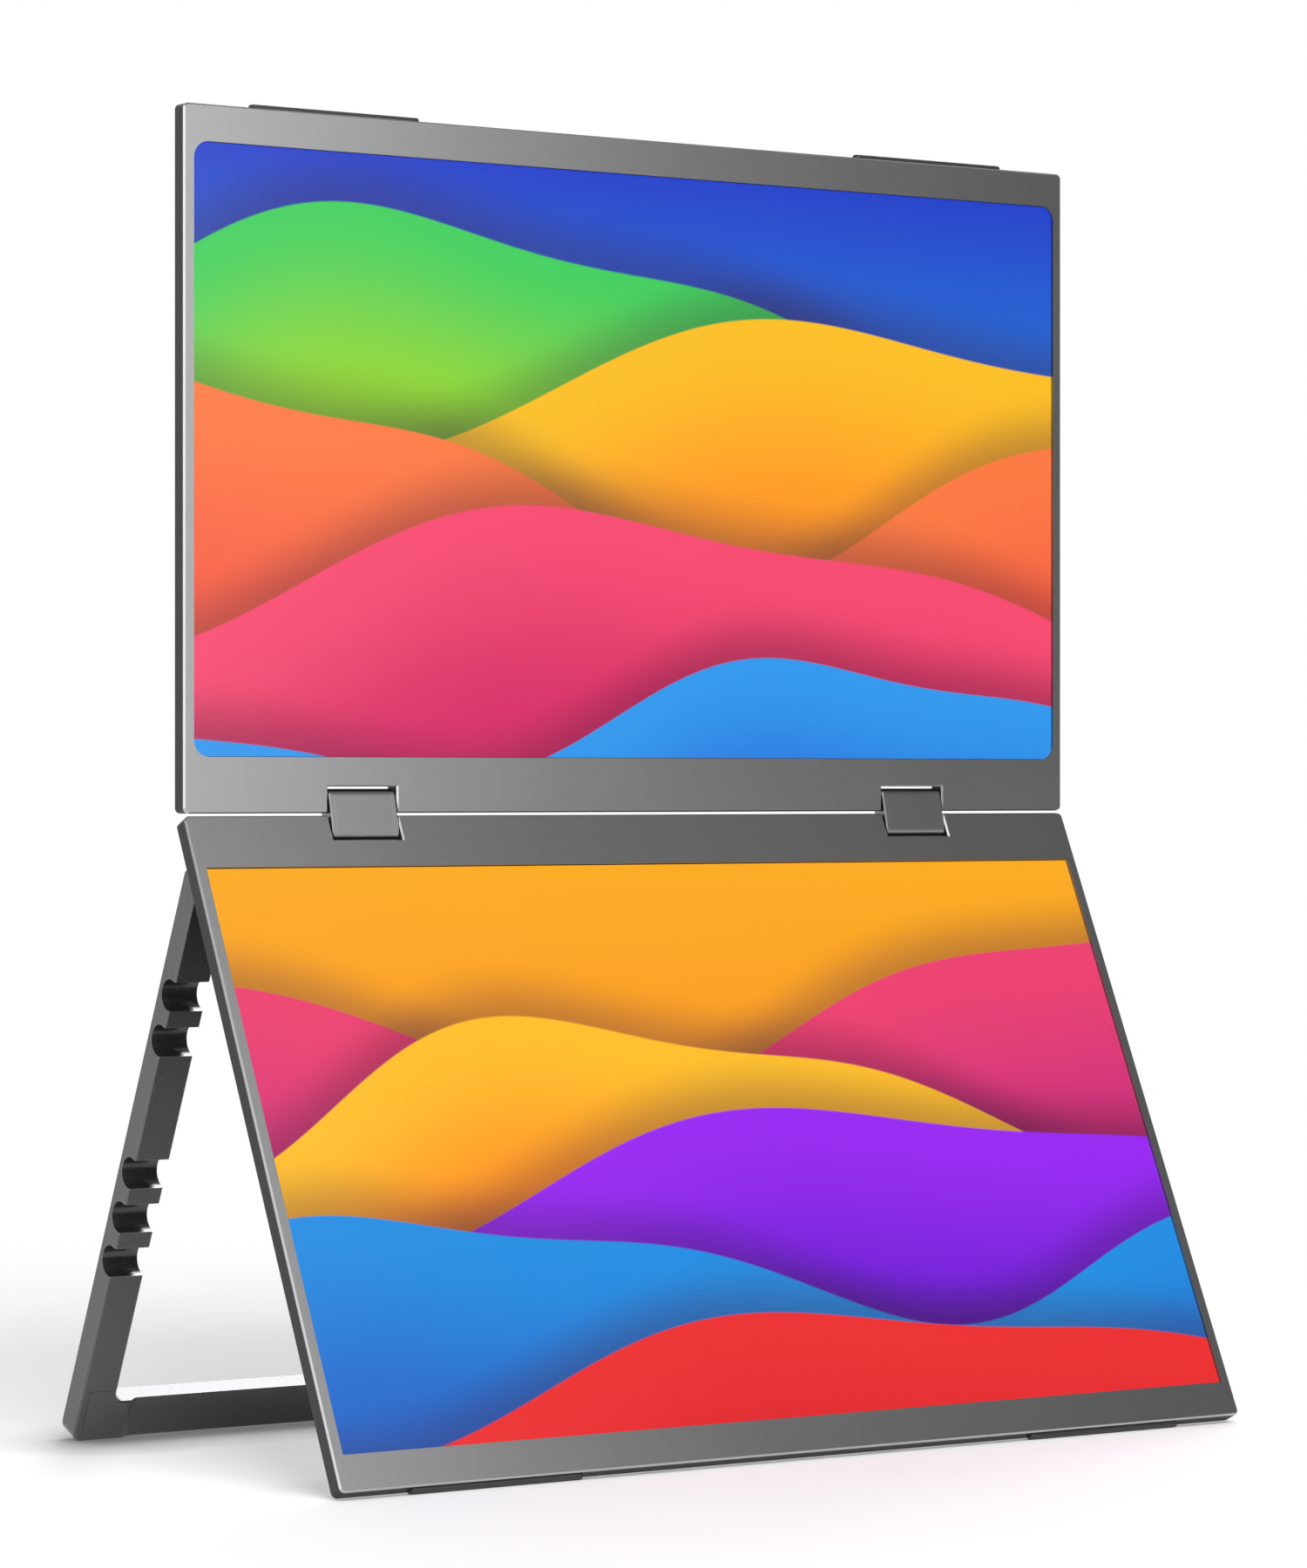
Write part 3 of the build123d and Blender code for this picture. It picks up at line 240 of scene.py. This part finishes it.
def bare_metal(name, colour, roughness, spread=0.3, bump=0.1):
    """Uncoated metal with drawn lines."""
    material, tree, shader = start_material(name)
    lines = tree.nodes.new("ShaderNodeGroup")
    lines.node_tree = drawn_lines
    lines.inputs["Colour"].default_value = (*colour, 1.0)
    lines.inputs["Spread"].default_value = spread
    lines.inputs["Roughness"].default_value = roughness
    tree.links.new(lines.outputs["Colour"], shader.inputs["Base Color"])
    tree.links.new(lines.outputs["Roughness"], shader.inputs["Roughness"])
    relief = tree.nodes.new("ShaderNodeBump")
    relief.inputs["Strength"].default_value = bump
    relief.inputs["Distance"].default_value = line_depth
    tree.links.new(lines.outputs["Height"], relief.inputs["Height"])
    tree.links.new(relief.outputs["Normal"], shader.inputs["Normal"])
    shader.inputs["Metallic"].default_value = 1.0
    return material


tray_sheet = bare_metal("bright tray sheet", colour=(0.62, 0.63, 0.64), roughness=0.33)
dress(tray_sheet, "upper_backlight_tray", "lower_backlight_tray")

# Light guides
# Clear acrylic plates with printed dots that spread the light from one edge.
# They lie in the trays, right behind the glass.
dots_per_metre = 420.0
dot_size = 0.35
dot_white = (0.95, 0.96, 0.97)
dot_roughness_rise = 0.4
plate_tint = (0.80, 0.83, 0.85)
plate_roughness = 0.08
guide_clear, guide_tree, guide_shader = start_material("dotted light guide")
guide_place = guide_tree.nodes.new("ShaderNodeTexCoord")
guide_dots = guide_tree.nodes.new("ShaderNodeTexVoronoi")
guide_dots.inputs["Scale"].default_value = dots_per_metre
guide_tree.links.new(guide_place.outputs["Object"], guide_dots.inputs["Vector"])
dot_mask = calc(guide_tree, "LESS_THAN", guide_dots.outputs["Distance"], dot_size)
dot_colour = blend_colours(guide_tree, dot_mask, plate_tint, dot_white)
guide_tree.links.new(dot_colour, guide_shader.inputs["Base Color"])
dot_roughness = calc(guide_tree, "MULTIPLY_ADD", dot_mask, dot_roughness_rise, plate_roughness)
guide_tree.links.new(dot_roughness, guide_shader.inputs["Roughness"])
dress(guide_clear, "upper_light_guide", "lower_light_guide")

# Displays
# Lit panels behind glossy glass, each showing a plain wallpaper of overlapping waves of bright colour.
# A hair-thin unlit border runs round the lit area, just inside the bezel.
screen_half_width = 0.1721
screen_half_height = 0.0968
screen_from_panel_middle = 0.0031
unlit_border = 0.00015
upper_tilt = 0.0
lower_tilt = radians(25.3)
screen_levels = 255
unlit_black = (0.004, 0.004, 0.005)
glass_black = (0.006, 0.006, 0.007)
glass_shine = 0.25
glass_roughness = 0.22
smear_scale = 30.0
smear_spread = 0.06
ripple_rate = 2.3
ripple_share = 0.28
crest_softness = 0.004
shadow_tint = (0.03, 0.0, 0.03)
shadow_strength = 0.45
shadow_reach = 0.22
shadow_overlap = 0.02
fill_depth = 0.75


def panel_place(tree, name, tilt):
    """Sockets for a point's place across and up a panel, from the middle of its bezel."""
    low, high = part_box(f"{name}_bezel")
    place = tree.nodes.new("ShaderNodeTexCoord")
    local = tree.nodes.new("ShaderNodeMapping")
    local.vector_type = "TEXTURE"
    local.inputs["Location"].default_value = (low + high) / 2
    local.inputs["Rotation"].default_value = (-tilt, 0.0, 0.0)
    tree.links.new(place.outputs["Object"], local.inputs["Vector"])
    split = tree.nodes.new("ShaderNodeSeparateXYZ")
    tree.links.new(local.outputs[0], split.inputs[0])
    return split.outputs["X"], split.outputs["Z"]


def from_screen_colour(*levels):
    """Colour as a display states it, in red, green and blue levels, turned into light."""
    return Color([level / screen_levels for level in levels]).from_srgb_to_scene_linear()


def make_paper_wave():
    """Group that lays one wave of colour over what is behind it, with a soft shadow along its crest."""
    group = bpy.data.node_groups.new("Paper wave", "ShaderNodeTree")
    add_sockets(group, "INPUT", "NodeSocketColor", "Behind", "Crest", "Deep")
    add_sockets(group, "INPUT", "NodeSocketFloat", "Across", "Up", "Height", "Swing", "Waves", "Shift")
    add_sockets(group, "OUTPUT", "NodeSocketColor", "Colour")
    given = group.nodes.new("NodeGroupInput")
    result = group.nodes.new("NodeGroupOutput")
    across = given.outputs["Across"]
    turn = calc(group, "MULTIPLY_ADD", across, given.outputs["Waves"], given.outputs["Shift"])
    main_wave = calc(group, "SINE", turn)
    small_wave = calc(group, "SINE", calc(group, "MULTIPLY", turn, ripple_rate))
    ripple = calc(group, "MULTIPLY", small_wave, ripple_share)
    wave = calc(group, "MULTIPLY", calc(group, "ADD", main_wave, ripple), given.outputs["Swing"])
    crest = calc(group, "ADD", wave, given.outputs["Height"])
    depth = calc(group, "SUBTRACT", crest, given.outputs["Up"])

    def ramp(low, high):
        node = group.nodes.new("ShaderNodeMapRange")
        node.interpolation_type = "SMOOTHSTEP"
        node.inputs["From Min"].default_value = low
        node.inputs["From Max"].default_value = high
        group.links.new(depth, node.inputs["Value"])
        return node.outputs["Result"]

    inside = ramp(-crest_softness, crest_softness)
    shadow = calc(group, "MULTIPLY", ramp(-shadow_reach, shadow_overlap), shadow_strength)
    dimmed = blend_colours(group, shadow, given.outputs["Behind"], shadow_tint)
    fill = blend_colours(group, ramp(0.0, fill_depth), given.outputs["Crest"], given.outputs["Deep"])
    group.links.new(blend_colours(group, inside, dimmed, fill), result.inputs["Colour"])
    return group


paper_wave = make_paper_wave()


def past_edge(tree, place, half_size):
    """Socket that is 1 in the unlit border, for a place that runs from -1 to 1 over the screen."""
    return calc(tree, "GREATER_THAN", calc(tree, "ABSOLUTE", place), 1.0 - unlit_border / half_size)


def make_display(name, tilt, screen_rise, bottom, top, waves):
    """Lit display: a backdrop that fades from bottom to top, and waves from back to front."""
    material, tree, shader = start_material(f"{name} wallpaper")
    panel_across, panel_up = panel_place(tree, name, tilt)
    across = calc(tree, "DIVIDE", panel_across, screen_half_width)
    up = calc(tree, "DIVIDE", calc(tree, "SUBTRACT", panel_up, screen_rise), screen_half_height)
    fade = calc(tree, "DIVIDE", calc(tree, "ADD", up, 1.0), 2.0)
    colour = blend_colours(tree, fade, from_screen_colour(*bottom), from_screen_colour(*top))
    for wave in waves:
        layer = tree.nodes.new("ShaderNodeGroup")
        layer.node_tree = paper_wave
        layer.inputs["Crest"].default_value = (*from_screen_colour(*wave["crest"]), 1.0)
        layer.inputs["Deep"].default_value = (*from_screen_colour(*wave["deep"]), 1.0)
        layer.inputs["Height"].default_value = wave["height"]
        layer.inputs["Swing"].default_value = wave["swing"]
        layer.inputs["Waves"].default_value = wave["count"]
        layer.inputs["Shift"].default_value = wave["shift"]
        tree.links.new(across, layer.inputs["Across"])
        tree.links.new(up, layer.inputs["Up"])
        tree.links.new(colour, layer.inputs["Behind"])
        colour = layer.outputs["Colour"]
    side = past_edge(tree, across, screen_half_width)
    end = past_edge(tree, up, screen_half_height)
    picture = blend_colours(tree, calc(tree, "MAXIMUM", side, end), colour, unlit_black)
    tree.links.new(picture, shader.inputs["Emission Color"])
    shader.inputs["Emission Strength"].default_value = 1.0
    shader.inputs["Base Color"].default_value = (*glass_black, 1.0)
    smear = tree.nodes.new("ShaderNodeTexNoise")
    smear.inputs["Scale"].default_value = smear_scale
    place = tree.nodes.new("ShaderNodeTexCoord")
    tree.links.new(place.outputs["Object"], smear.inputs["Vector"])
    smeared = calc(tree, "MULTIPLY_ADD", smear.outputs["Fac"], smear_spread, glass_roughness)
    tree.links.new(smeared, shader.inputs["Roughness"])
    shader.inputs["Specular IOR Level"].default_value = glass_shine
    dress(material, f"{name}_screen")


make_display(
    "upper",
    upper_tilt,
    screen_from_panel_middle,
    bottom=(22, 160, 235),
    top=(24, 60, 200),
    waves=(
        dict(crest=(60, 205, 90), deep=(150, 215, 20), height=0.52, swing=0.30, count=2.3, shift=2.6),
        dict(crest=(250, 190, 20), deep=(255, 150, 20), height=0.26, swing=0.26, count=2.0, shift=0.4),
        dict(crest=(250, 120, 60), deep=(245, 90, 60), height=-0.02, swing=0.30, count=2.5, shift=4.2),
        dict(crest=(245, 70, 110), deep=(215, 35, 100), height=-0.42, swing=0.26, count=2.1, shift=1.6),
        dict(crest=(40, 150, 235), deep=(20, 80, 210), height=-0.86, swing=0.20, count=2.9, shift=0.2),
    ),
)
make_display(
    "lower",
    lower_tilt,
    -screen_from_panel_middle,
    bottom=(255, 120, 20),
    top=(250, 170, 10),
    waves=(
        dict(crest=(235, 60, 110), deep=(205, 40, 120), height=0.50, swing=0.28, count=2.2, shift=5.2),
        dict(crest=(255, 190, 30), deep=(255, 140, 10), height=0.16, swing=0.28, count=2.6, shift=2.2),
        dict(crest=(150, 30, 240), deep=(110, 10, 215), height=-0.16, swing=0.24, count=2.0, shift=0.9),
        dict(crest=(20, 140, 225), deep=(20, 100, 200), height=-0.44, swing=0.22, count=2.7, shift=3.6),
        dict(crest=(235, 40, 40), deep=(210, 20, 35), height=-0.84, swing=0.20, count=2.2, shift=1.2),
    ),
)

# Bezels
# Thin front frames of coated metal, whose outer edge is cut back to bright metal after coating, painted
# paler there in part as a highlight line.
# They close the panels in front and leave a cut-out for each hinge.
cut_metal_and_highlight = (0.48, 0.48, 0.495)
cut_roughness = 0.25
slope_facing = cos(radians(45.0))
slope_spread = 0.2


def make_bezel_metal(name, tilt):
    """Satin grey coat, with bare metal on the slope round the outer edge, paler in part as a painted
    highlight.
    """
    material = satin_material(
        f"{name} bezel coat",
        colour=(0.31, 0.31, 0.315),
        roughness=0.29,
        grain_size=0.00018,
        spread=0.08,
        bump=0.03,
        metallic=1.0,
    )
    tree = material.node_tree
    shader = tree.nodes["Principled BSDF"]
    grain = tree.nodes["Group"]
    place = tree.nodes.new("ShaderNodeTexCoord")
    facing = tree.nodes.new("ShaderNodeVectorMath")
    facing.operation = "DOT_PRODUCT"
    facing.inputs[1].default_value = (0.0, -cos(tilt), sin(tilt))
    tree.links.new(place.outputs["Normal"], facing.inputs[0])
    # The slope's pale bare metal is partly a painted highlight line
    cut_slope_and_highlight = calc(tree, "COMPARE", facing.outputs["Value"], slope_facing, slope_spread)
    bright = blend_colours(tree, cut_slope_and_highlight, grain.outputs["Colour"], cut_metal_and_highlight)
    tree.links.new(bright, shader.inputs["Base Color"])
    coated = calc(tree, "SUBTRACT", 1.0, cut_slope_and_highlight)
    coat_part = calc(tree, "MULTIPLY", grain.outputs["Roughness"], coated)
    polish = calc(tree, "MULTIPLY_ADD", cut_slope_and_highlight, cut_roughness, coat_part)
    tree.links.new(polish, shader.inputs["Roughness"])
    height = calc(tree, "MULTIPLY", grain.outputs["Height"], coated)
    tree.links.new(height, tree.nodes["Bump"].inputs["Height"])
    dress(material, f"{name}_bezel")


make_bezel_metal("upper", upper_tilt)
make_bezel_metal("lower", lower_tilt)

# Rubber strips, feet and stand pads
# Soft black rubber, pressed into grooves in the panels' free edges, and grey rubber in the stand's pockets.
# The lower strips are the front feet, and a painted shade darkens the rim of each pad, where it meets its
# pocket.
soft_rubber = satin_material(
    "black rubber", colour=(0.020, 0.020, 0.021), roughness=0.45, grain_size=0.0002, spread=0.3, bump=0.15
)
dress(soft_rubber, "upper_rubber_strips", "lower_rubber_feet")
pad_rubber = satin_material(
    "grey pad rubber",
    colour=(0.08, 0.08, 0.083),
    roughness=0.38,
    grain_size=0.0002,
    spread=0.2,
    bump=0.12,
    edge_wear_and_painted_light=1.0,
    # Dark rim colour: painted shade along the gap round the pad
    edge_colour=(0.006, 0.006, 0.006),
)
dress(pad_rubber, "stand_pads")

# Display boards, leads and flat tail
# Narrow green boards between the hinges, black leads that cross the right-hand hinge and an amber film tail.
# All lie inside the panels, and the main board in the housing has the same green coat and tracks.
tracks_per_metre = 90.0
track_width = 0.06
track_green = (0.03, 0.17, 0.07)
board_green = satin_material(
    "green board", colour=(0.012, 0.085, 0.035), roughness=0.38, grain_size=0.0012, spread=0.2, bump=0.1
)
board_tree = board_green.node_tree
tracks = board_tree.nodes.new("ShaderNodeTexBrick")
tracks.inputs["Scale"].default_value = tracks_per_metre
tracks.inputs["Mortar Size"].default_value = track_width
for face in ("Color1", "Color2"):
    tracks.inputs[face].default_value = (0.0, 0.0, 0.0, 1.0)
tracks.inputs["Mortar"].default_value = (1.0, 1.0, 1.0, 1.0)
board_place = board_tree.nodes.new("ShaderNodeTexCoord")
board_tree.links.new(board_place.outputs["Object"], tracks.inputs["Vector"])
mask_green = board_tree.nodes["Group"].outputs["Colour"]
track_colour = blend_colours(board_tree, tracks.outputs["Color"], mask_green, track_green)
board_tree.links.new(track_colour, board_tree.nodes["Principled BSDF"].inputs["Base Color"])
dress(board_green, "upper_panel_board", "lower_panel_board", "main_board")
lead_sleeve = satin_material(
    "black lead sleeve", colour=(0.02, 0.02, 0.021), roughness=0.5, grain_size=0.0003, spread=0.3, bump=0.2
)
dress(lead_sleeve, "upper_lead", "lower_lead", "link_lead")
amber_film = satin_material(
    "amber film", colour=(0.42, 0.16, 0.025), roughness=0.3, grain_size=0.001, spread=0.2, bump=0.08
)
dress(amber_film, "flex_tail")

# Hinge brackets, shafts, stubs, clips and gears
# Ground and pressed steel parts of the fold hinges, bright where they run.
# The brackets are screwed to the covers, and the gears keep both axes at the same angle.
ground_steel = bare_metal("ground steel", colour=(0.42, 0.42, 0.43), roughness=0.34)
for panel in ("upper", "lower"):
    dress(
        ground_steel,
        f"{panel}_hinge_brackets",
        f"{panel}_hinge_shafts",
        f"{panel}_hinge_stubs",
        f"{panel}_shaft_clips",
        f"{panel}_idler_gears",
    )
dress(ground_steel, "idler_pins")

# Friction bushes and washers
# Plain brass rings that grip the shafts and the stand's pins, so each part stays where it is put.
brass_ring = bare_metal("plain brass", colour=(0.52, 0.33, 0.10), roughness=0.36)
dress(brass_ring, "friction_bushes", "friction_washers")

# Hinge links and caps
# Two rounded metal blocks between the panels, coated to match the bezels, each closed by a cap at both ends.
link_coat = satin_material(
    "hinge block coat",
    colour=(0.25, 0.25, 0.255),
    roughness=0.32,
    grain_size=0.00018,
    spread=0.08,
    metallic=1.0,
    edge_wear_and_painted_light=0.25,
)
dress(link_coat, "left_hinge_link", "right_hinge_link", "hinge_outer_caps", "hinge_inner_caps")

# Chips, switches and audio socket
# Black moulded bodies on the main board, slightly dusty and with a fine mould texture.
moulded_black = satin_material(
    "moulded black",
    colour=(0.018, 0.018, 0.019),
    roughness=0.5,
    grain_size=0.0003,
    spread=0.3,
    bump=0.15,
    edge_wear_and_painted_light=0.3,
)
dress(moulded_black, "board_chips", "key_switches", "audio_socket")

# Sockets
# Plated steel shells on the edges of the main board, open at the housing's sides.
plated_shell = bare_metal("plated shell", colour=(0.66, 0.67, 0.69), roughness=0.24, spread=0.15, bump=0.04)
dress(plated_shell, "usb_c_sockets", "mini_hdmi_sockets")

# Speakers
# Shallow boxes with a soft diaphragm that faces the housing's slots.
speaker_box = satin_material(
    "speaker box",
    colour=(0.03, 0.03, 0.032),
    roughness=0.6,
    grain_size=0.0004,
    spread=0.3,
    bump=0.2,
    edge_wear_and_painted_light=0.3,
)
dress(speaker_box, "left_speaker", "right_speaker")

# Rear housing and keys
# Moulded grey plastic with a fine spark texture, screwed to the lower panel's back.
# Four push keys of the same plastic come through its right-hand side.
housing_plastic = satin_material(
    "spark textured plastic",
    colour=(0.055, 0.055, 0.059),
    roughness=0.55,
    grain_size=0.00045,
    spread=0.25,
    bump=0.3,
    edge_wear_and_painted_light=0.4,
)
dress(housing_plastic, "rear_housing")
key_plastic = satin_material(
    "key plastic",
    colour=(0.035, 0.035, 0.037),
    roughness=0.42,
    grain_size=0.0003,
    spread=0.2,
    bump=0.12,
    edge_wear_and_painted_light=0.5,
)
dress(key_plastic, "power_key", "menu_key", "plus_key", "minus_key")

# Screws and nuts
# Blackened steel, in the hinge brackets, the rear housing, the stand's brackets and on its pins.
black_steel = satin_material(
    "blackened steel",
    colour=(0.09, 0.09, 0.095),
    roughness=0.38,
    grain_size=0.0003,
    spread=0.2,
    metallic=0.9,
    edge_wear_and_painted_light=0.8,
)
dress(
    black_steel,
    "upper_bracket_screws",
    "lower_bracket_screws",
    "housing_screws",
    "stand_bracket_screws",
    "stand_pin_nuts",
)

# Stand brackets and pins
# Pressed steel ears on the lower panel's back, with turned pins that run into the stand's arms.
dress(ground_steel, "stand_brackets", "stand_pins")

# Stand frame
# One cast metal frame, coated dark grey, with round-bottomed notches that line up with the sockets.
# Its edges are marked paler, partly as worn coat and partly as a painted highlight line.
stand_coat = satin_material(
    "stand coat",
    colour=(0.12, 0.12, 0.125),
    roughness=0.27,
    grain_size=0.0002,
    spread=0.09,
    metallic=0.85,
    # The strong edge marking here is mostly a painted highlight line
    edge_wear_and_painted_light=1.8,
)
dress(stand_coat, "stand_frame")

# Floor
# A wide pale floor that keeps the soft shadow and glows into the white background further out.
# A painted shadow, for the camera only, darkens the floor close to the stand and more towards the back.
floor_size = 30.0
floor_middle = (0.0, 14.0, 0.0)
floor_white = (0.95, 0.95, 0.95)
floor_roughness = 0.9
shadow_black = (0.0, 0.0, 0.0)
contact_reach = 0.04
contact_depth = 3.0
contact_samples = 8
contact_front = -0.09
contact_back = 0.03
glow_near = 0.3
glow_far = 1.0
glow_least = 0.15
bpy.ops.object.select_all(action="DESELECT")
bpy.ops.mesh.primitive_plane_add(size=floor_size, location=floor_middle)
bpy.ops.object.transform_apply(location=True)
floor = bpy.context.object
floor.name = "studio_floor"
floor_paint, floor_tree, floor_shader = start_material("pale floor")
floor_shader.inputs["Roughness"].default_value = floor_roughness
floor_glow = floor_tree.nodes.new("ShaderNodeEmission")
floor_mix = floor_tree.nodes.new("ShaderNodeMixShader")
floor_path = floor_tree.nodes.new("ShaderNodeLightPath")
seen = calc(floor_tree, "MAXIMUM", floor_path.outputs["Is Camera Ray"], floor_path.outputs["Is Glossy Ray"])
seen = calc(floor_tree, "MAXIMUM", seen, floor_path.outputs["Is Transmission Ray"])
floor_place = floor_tree.nodes.new("ShaderNodeTexCoord")
floor_split = floor_tree.nodes.new("ShaderNodeSeparateXYZ")
floor_tree.links.new(floor_place.outputs["Object"], floor_split.inputs[0])
towards_back = floor_tree.nodes.new("ShaderNodeMapRange")
towards_back.inputs["From Min"].default_value = contact_front
towards_back.inputs["From Max"].default_value = contact_back
floor_tree.links.new(floor_split.outputs["Y"], towards_back.inputs["Value"])
# Painted shadow: occlusion darkens the floor's colour near the stand, for camera rays only
openness = floor_tree.nodes.new("ShaderNodeAmbientOcclusion")
openness.samples = contact_samples
openness.inputs["Distance"].default_value = contact_reach
contact_light = calc(floor_tree, "POWER", openness.outputs["AO"], contact_depth)
painted_contact_shadow = calc(floor_tree, "SUBTRACT", 1.0, contact_light)
painted_contact_shadow = calc(floor_tree, "MULTIPLY", painted_contact_shadow, towards_back.outputs["Result"])
painted_contact_shadow = calc(floor_tree, "MULTIPLY", painted_contact_shadow, floor_path.outputs["Is Camera Ray"])
floor_colour = blend_colours(floor_tree, painted_contact_shadow, floor_white, shadow_black)
floor_tree.links.new(floor_colour, floor_shader.inputs["Base Color"])
floor_distance = floor_tree.nodes.new("ShaderNodeVectorMath")
floor_distance.operation = "LENGTH"
floor_tree.links.new(floor_place.outputs["Object"], floor_distance.inputs[0])
floor_fade = floor_tree.nodes.new("ShaderNodeMapRange")
floor_fade.interpolation_type = "SMOOTHSTEP"
floor_fade.inputs["From Min"].default_value = glow_near
floor_fade.inputs["From Max"].default_value = glow_far
floor_fade.inputs["To Min"].default_value = glow_least
floor_fade.inputs["To Max"].default_value = 1.0
floor_tree.links.new(floor_distance.outputs["Value"], floor_fade.inputs["Value"])
glow_share = calc(floor_tree, "MULTIPLY", seen, floor_fade.outputs["Result"])
floor_tree.links.new(glow_share, floor_mix.inputs["Fac"])
floor_tree.links.new(floor_shader.outputs[0], floor_mix.inputs[1])
floor_tree.links.new(floor_glow.outputs[0], floor_mix.inputs[2])
floor_tree.links.new(floor_mix.outputs[0], floor_tree.nodes["Material Output"].inputs["Surface"])
floor.data.materials.append(floor_paint)

# Room
# White to the camera and behind the object, dimmer in front and overhead, so that metal keeps its contrast.
front_grey = (0.17, 0.17, 0.17)
back_grey = (0.85, 0.85, 0.85)
overhead_grey = (0.24, 0.24, 0.24)
room_white = (1.0, 1.0, 1.0)
back_starts = -0.3
back_ends = 0.6
overhead_starts = 0.55
overhead_ends = 0.85
world = bpy.data.worlds.new("white studio")
bpy.context.scene.world = world
world.use_nodes = True
world_tree = world.node_tree
sky = world_tree.nodes["Background"]
direction = world_tree.nodes.new("ShaderNodeTexCoord")
facing = world_tree.nodes.new("ShaderNodeSeparateXYZ")
world_tree.links.new(direction.outputs["Generated"], facing.inputs[0])
behind = world_tree.nodes.new("ShaderNodeMapRange")
behind.inputs["From Min"].default_value = back_starts
behind.inputs["From Max"].default_value = back_ends
world_tree.links.new(facing.outputs["Y"], behind.inputs["Value"])
overhead = world_tree.nodes.new("ShaderNodeMapRange")
overhead.inputs["From Min"].default_value = overhead_starts
overhead.inputs["From Max"].default_value = overhead_ends
world_tree.links.new(facing.outputs["Z"], overhead.inputs["Value"])
open_room = calc(world_tree, "SUBTRACT", 1.0, overhead.outputs["Result"])
world_path = world_tree.nodes.new("ShaderNodeLightPath")
bounced = [world_path.outputs[f"Is {kind} Ray"] for kind in ("Glossy", "Transmission")]
mirrored = calc(world_tree, "MULTIPLY", calc(world_tree, "MAXIMUM", *bounced), behind.outputs["Result"])
mirrored = calc(world_tree, "MULTIPLY", mirrored, open_room)
shown = calc(world_tree, "MAXIMUM", world_path.outputs["Is Camera Ray"], mirrored)
walls = blend_colours(world_tree, behind.outputs["Result"], front_grey, back_grey)
room = blend_colours(world_tree, open_room, overhead_grey, walls)
sky_colour = blend_colours(world_tree, shown, room, room_white)
world_tree.links.new(sky_colour, sky.inputs["Color"])

# Lamps
# Soft boxes round the object: the front and left ones show as sheen on the bezels, the key lights the rest.
panel_middle = (0.0, 0.0, 0.2)


def add_softbox(name, location, target, width, height, power):
    """Large soft lamp that faces its target."""
    lamp = bpy.data.lights.new(name, "AREA")
    lamp.shape = "RECTANGLE"
    lamp.size = width
    lamp.size_y = height
    lamp.energy = power
    holder = bpy.data.objects.new(name, lamp)
    bpy.context.scene.collection.objects.link(holder)
    holder.location = location
    holder.rotation_euler = (Vector(target) - Vector(location)).to_track_quat("-Z", "Y").to_euler()


add_softbox("front softbox", (0.48, -1.94, 0.9), panel_middle, width=1.05, height=2.4, power=17.0)
add_softbox("left strip", (-1.75, -0.98, 0.75), panel_middle, width=0.45, height=2.4, power=8.8)
add_softbox("key softbox", (-0.5, -1.8, 1.8), (0.0, 0.0, 0.15), width=1.4, height=1.4, power=44.0)
add_softbox("back softbox", (0.7, 2.1, 1.1), panel_middle, width=1.6, height=1.6, power=10.0)
add_softbox("back corner lamp", (1.3, 1.46, 2.2), (0.0, 0.1, 0.1), width=0.9, height=0.9, power=20.0)

# Camera
# Level, at the photograph's place and angle, with a long lens.
camera_place = (-0.994003, -1.454292, 0.214593)
camera_turn = radians(-34.357)
camera_lens = 121.94
sensor_height = 36.0
view_reach = 100.0
camera_data = bpy.data.cameras.new("photo camera")
camera_data.sensor_fit = "VERTICAL"
camera_data.sensor_height = sensor_height
camera_data.lens = camera_lens
camera_data.clip_end = view_reach
camera = bpy.data.objects.new("photo camera", camera_data)
bpy.context.scene.collection.objects.link(camera)
camera.location = camera_place
camera.rotation_euler = (radians(90.0), 0.0, camera_turn)
bpy.context.scene.camera = camera
bpy.context.scene.view_settings.view_transform = "Standard"
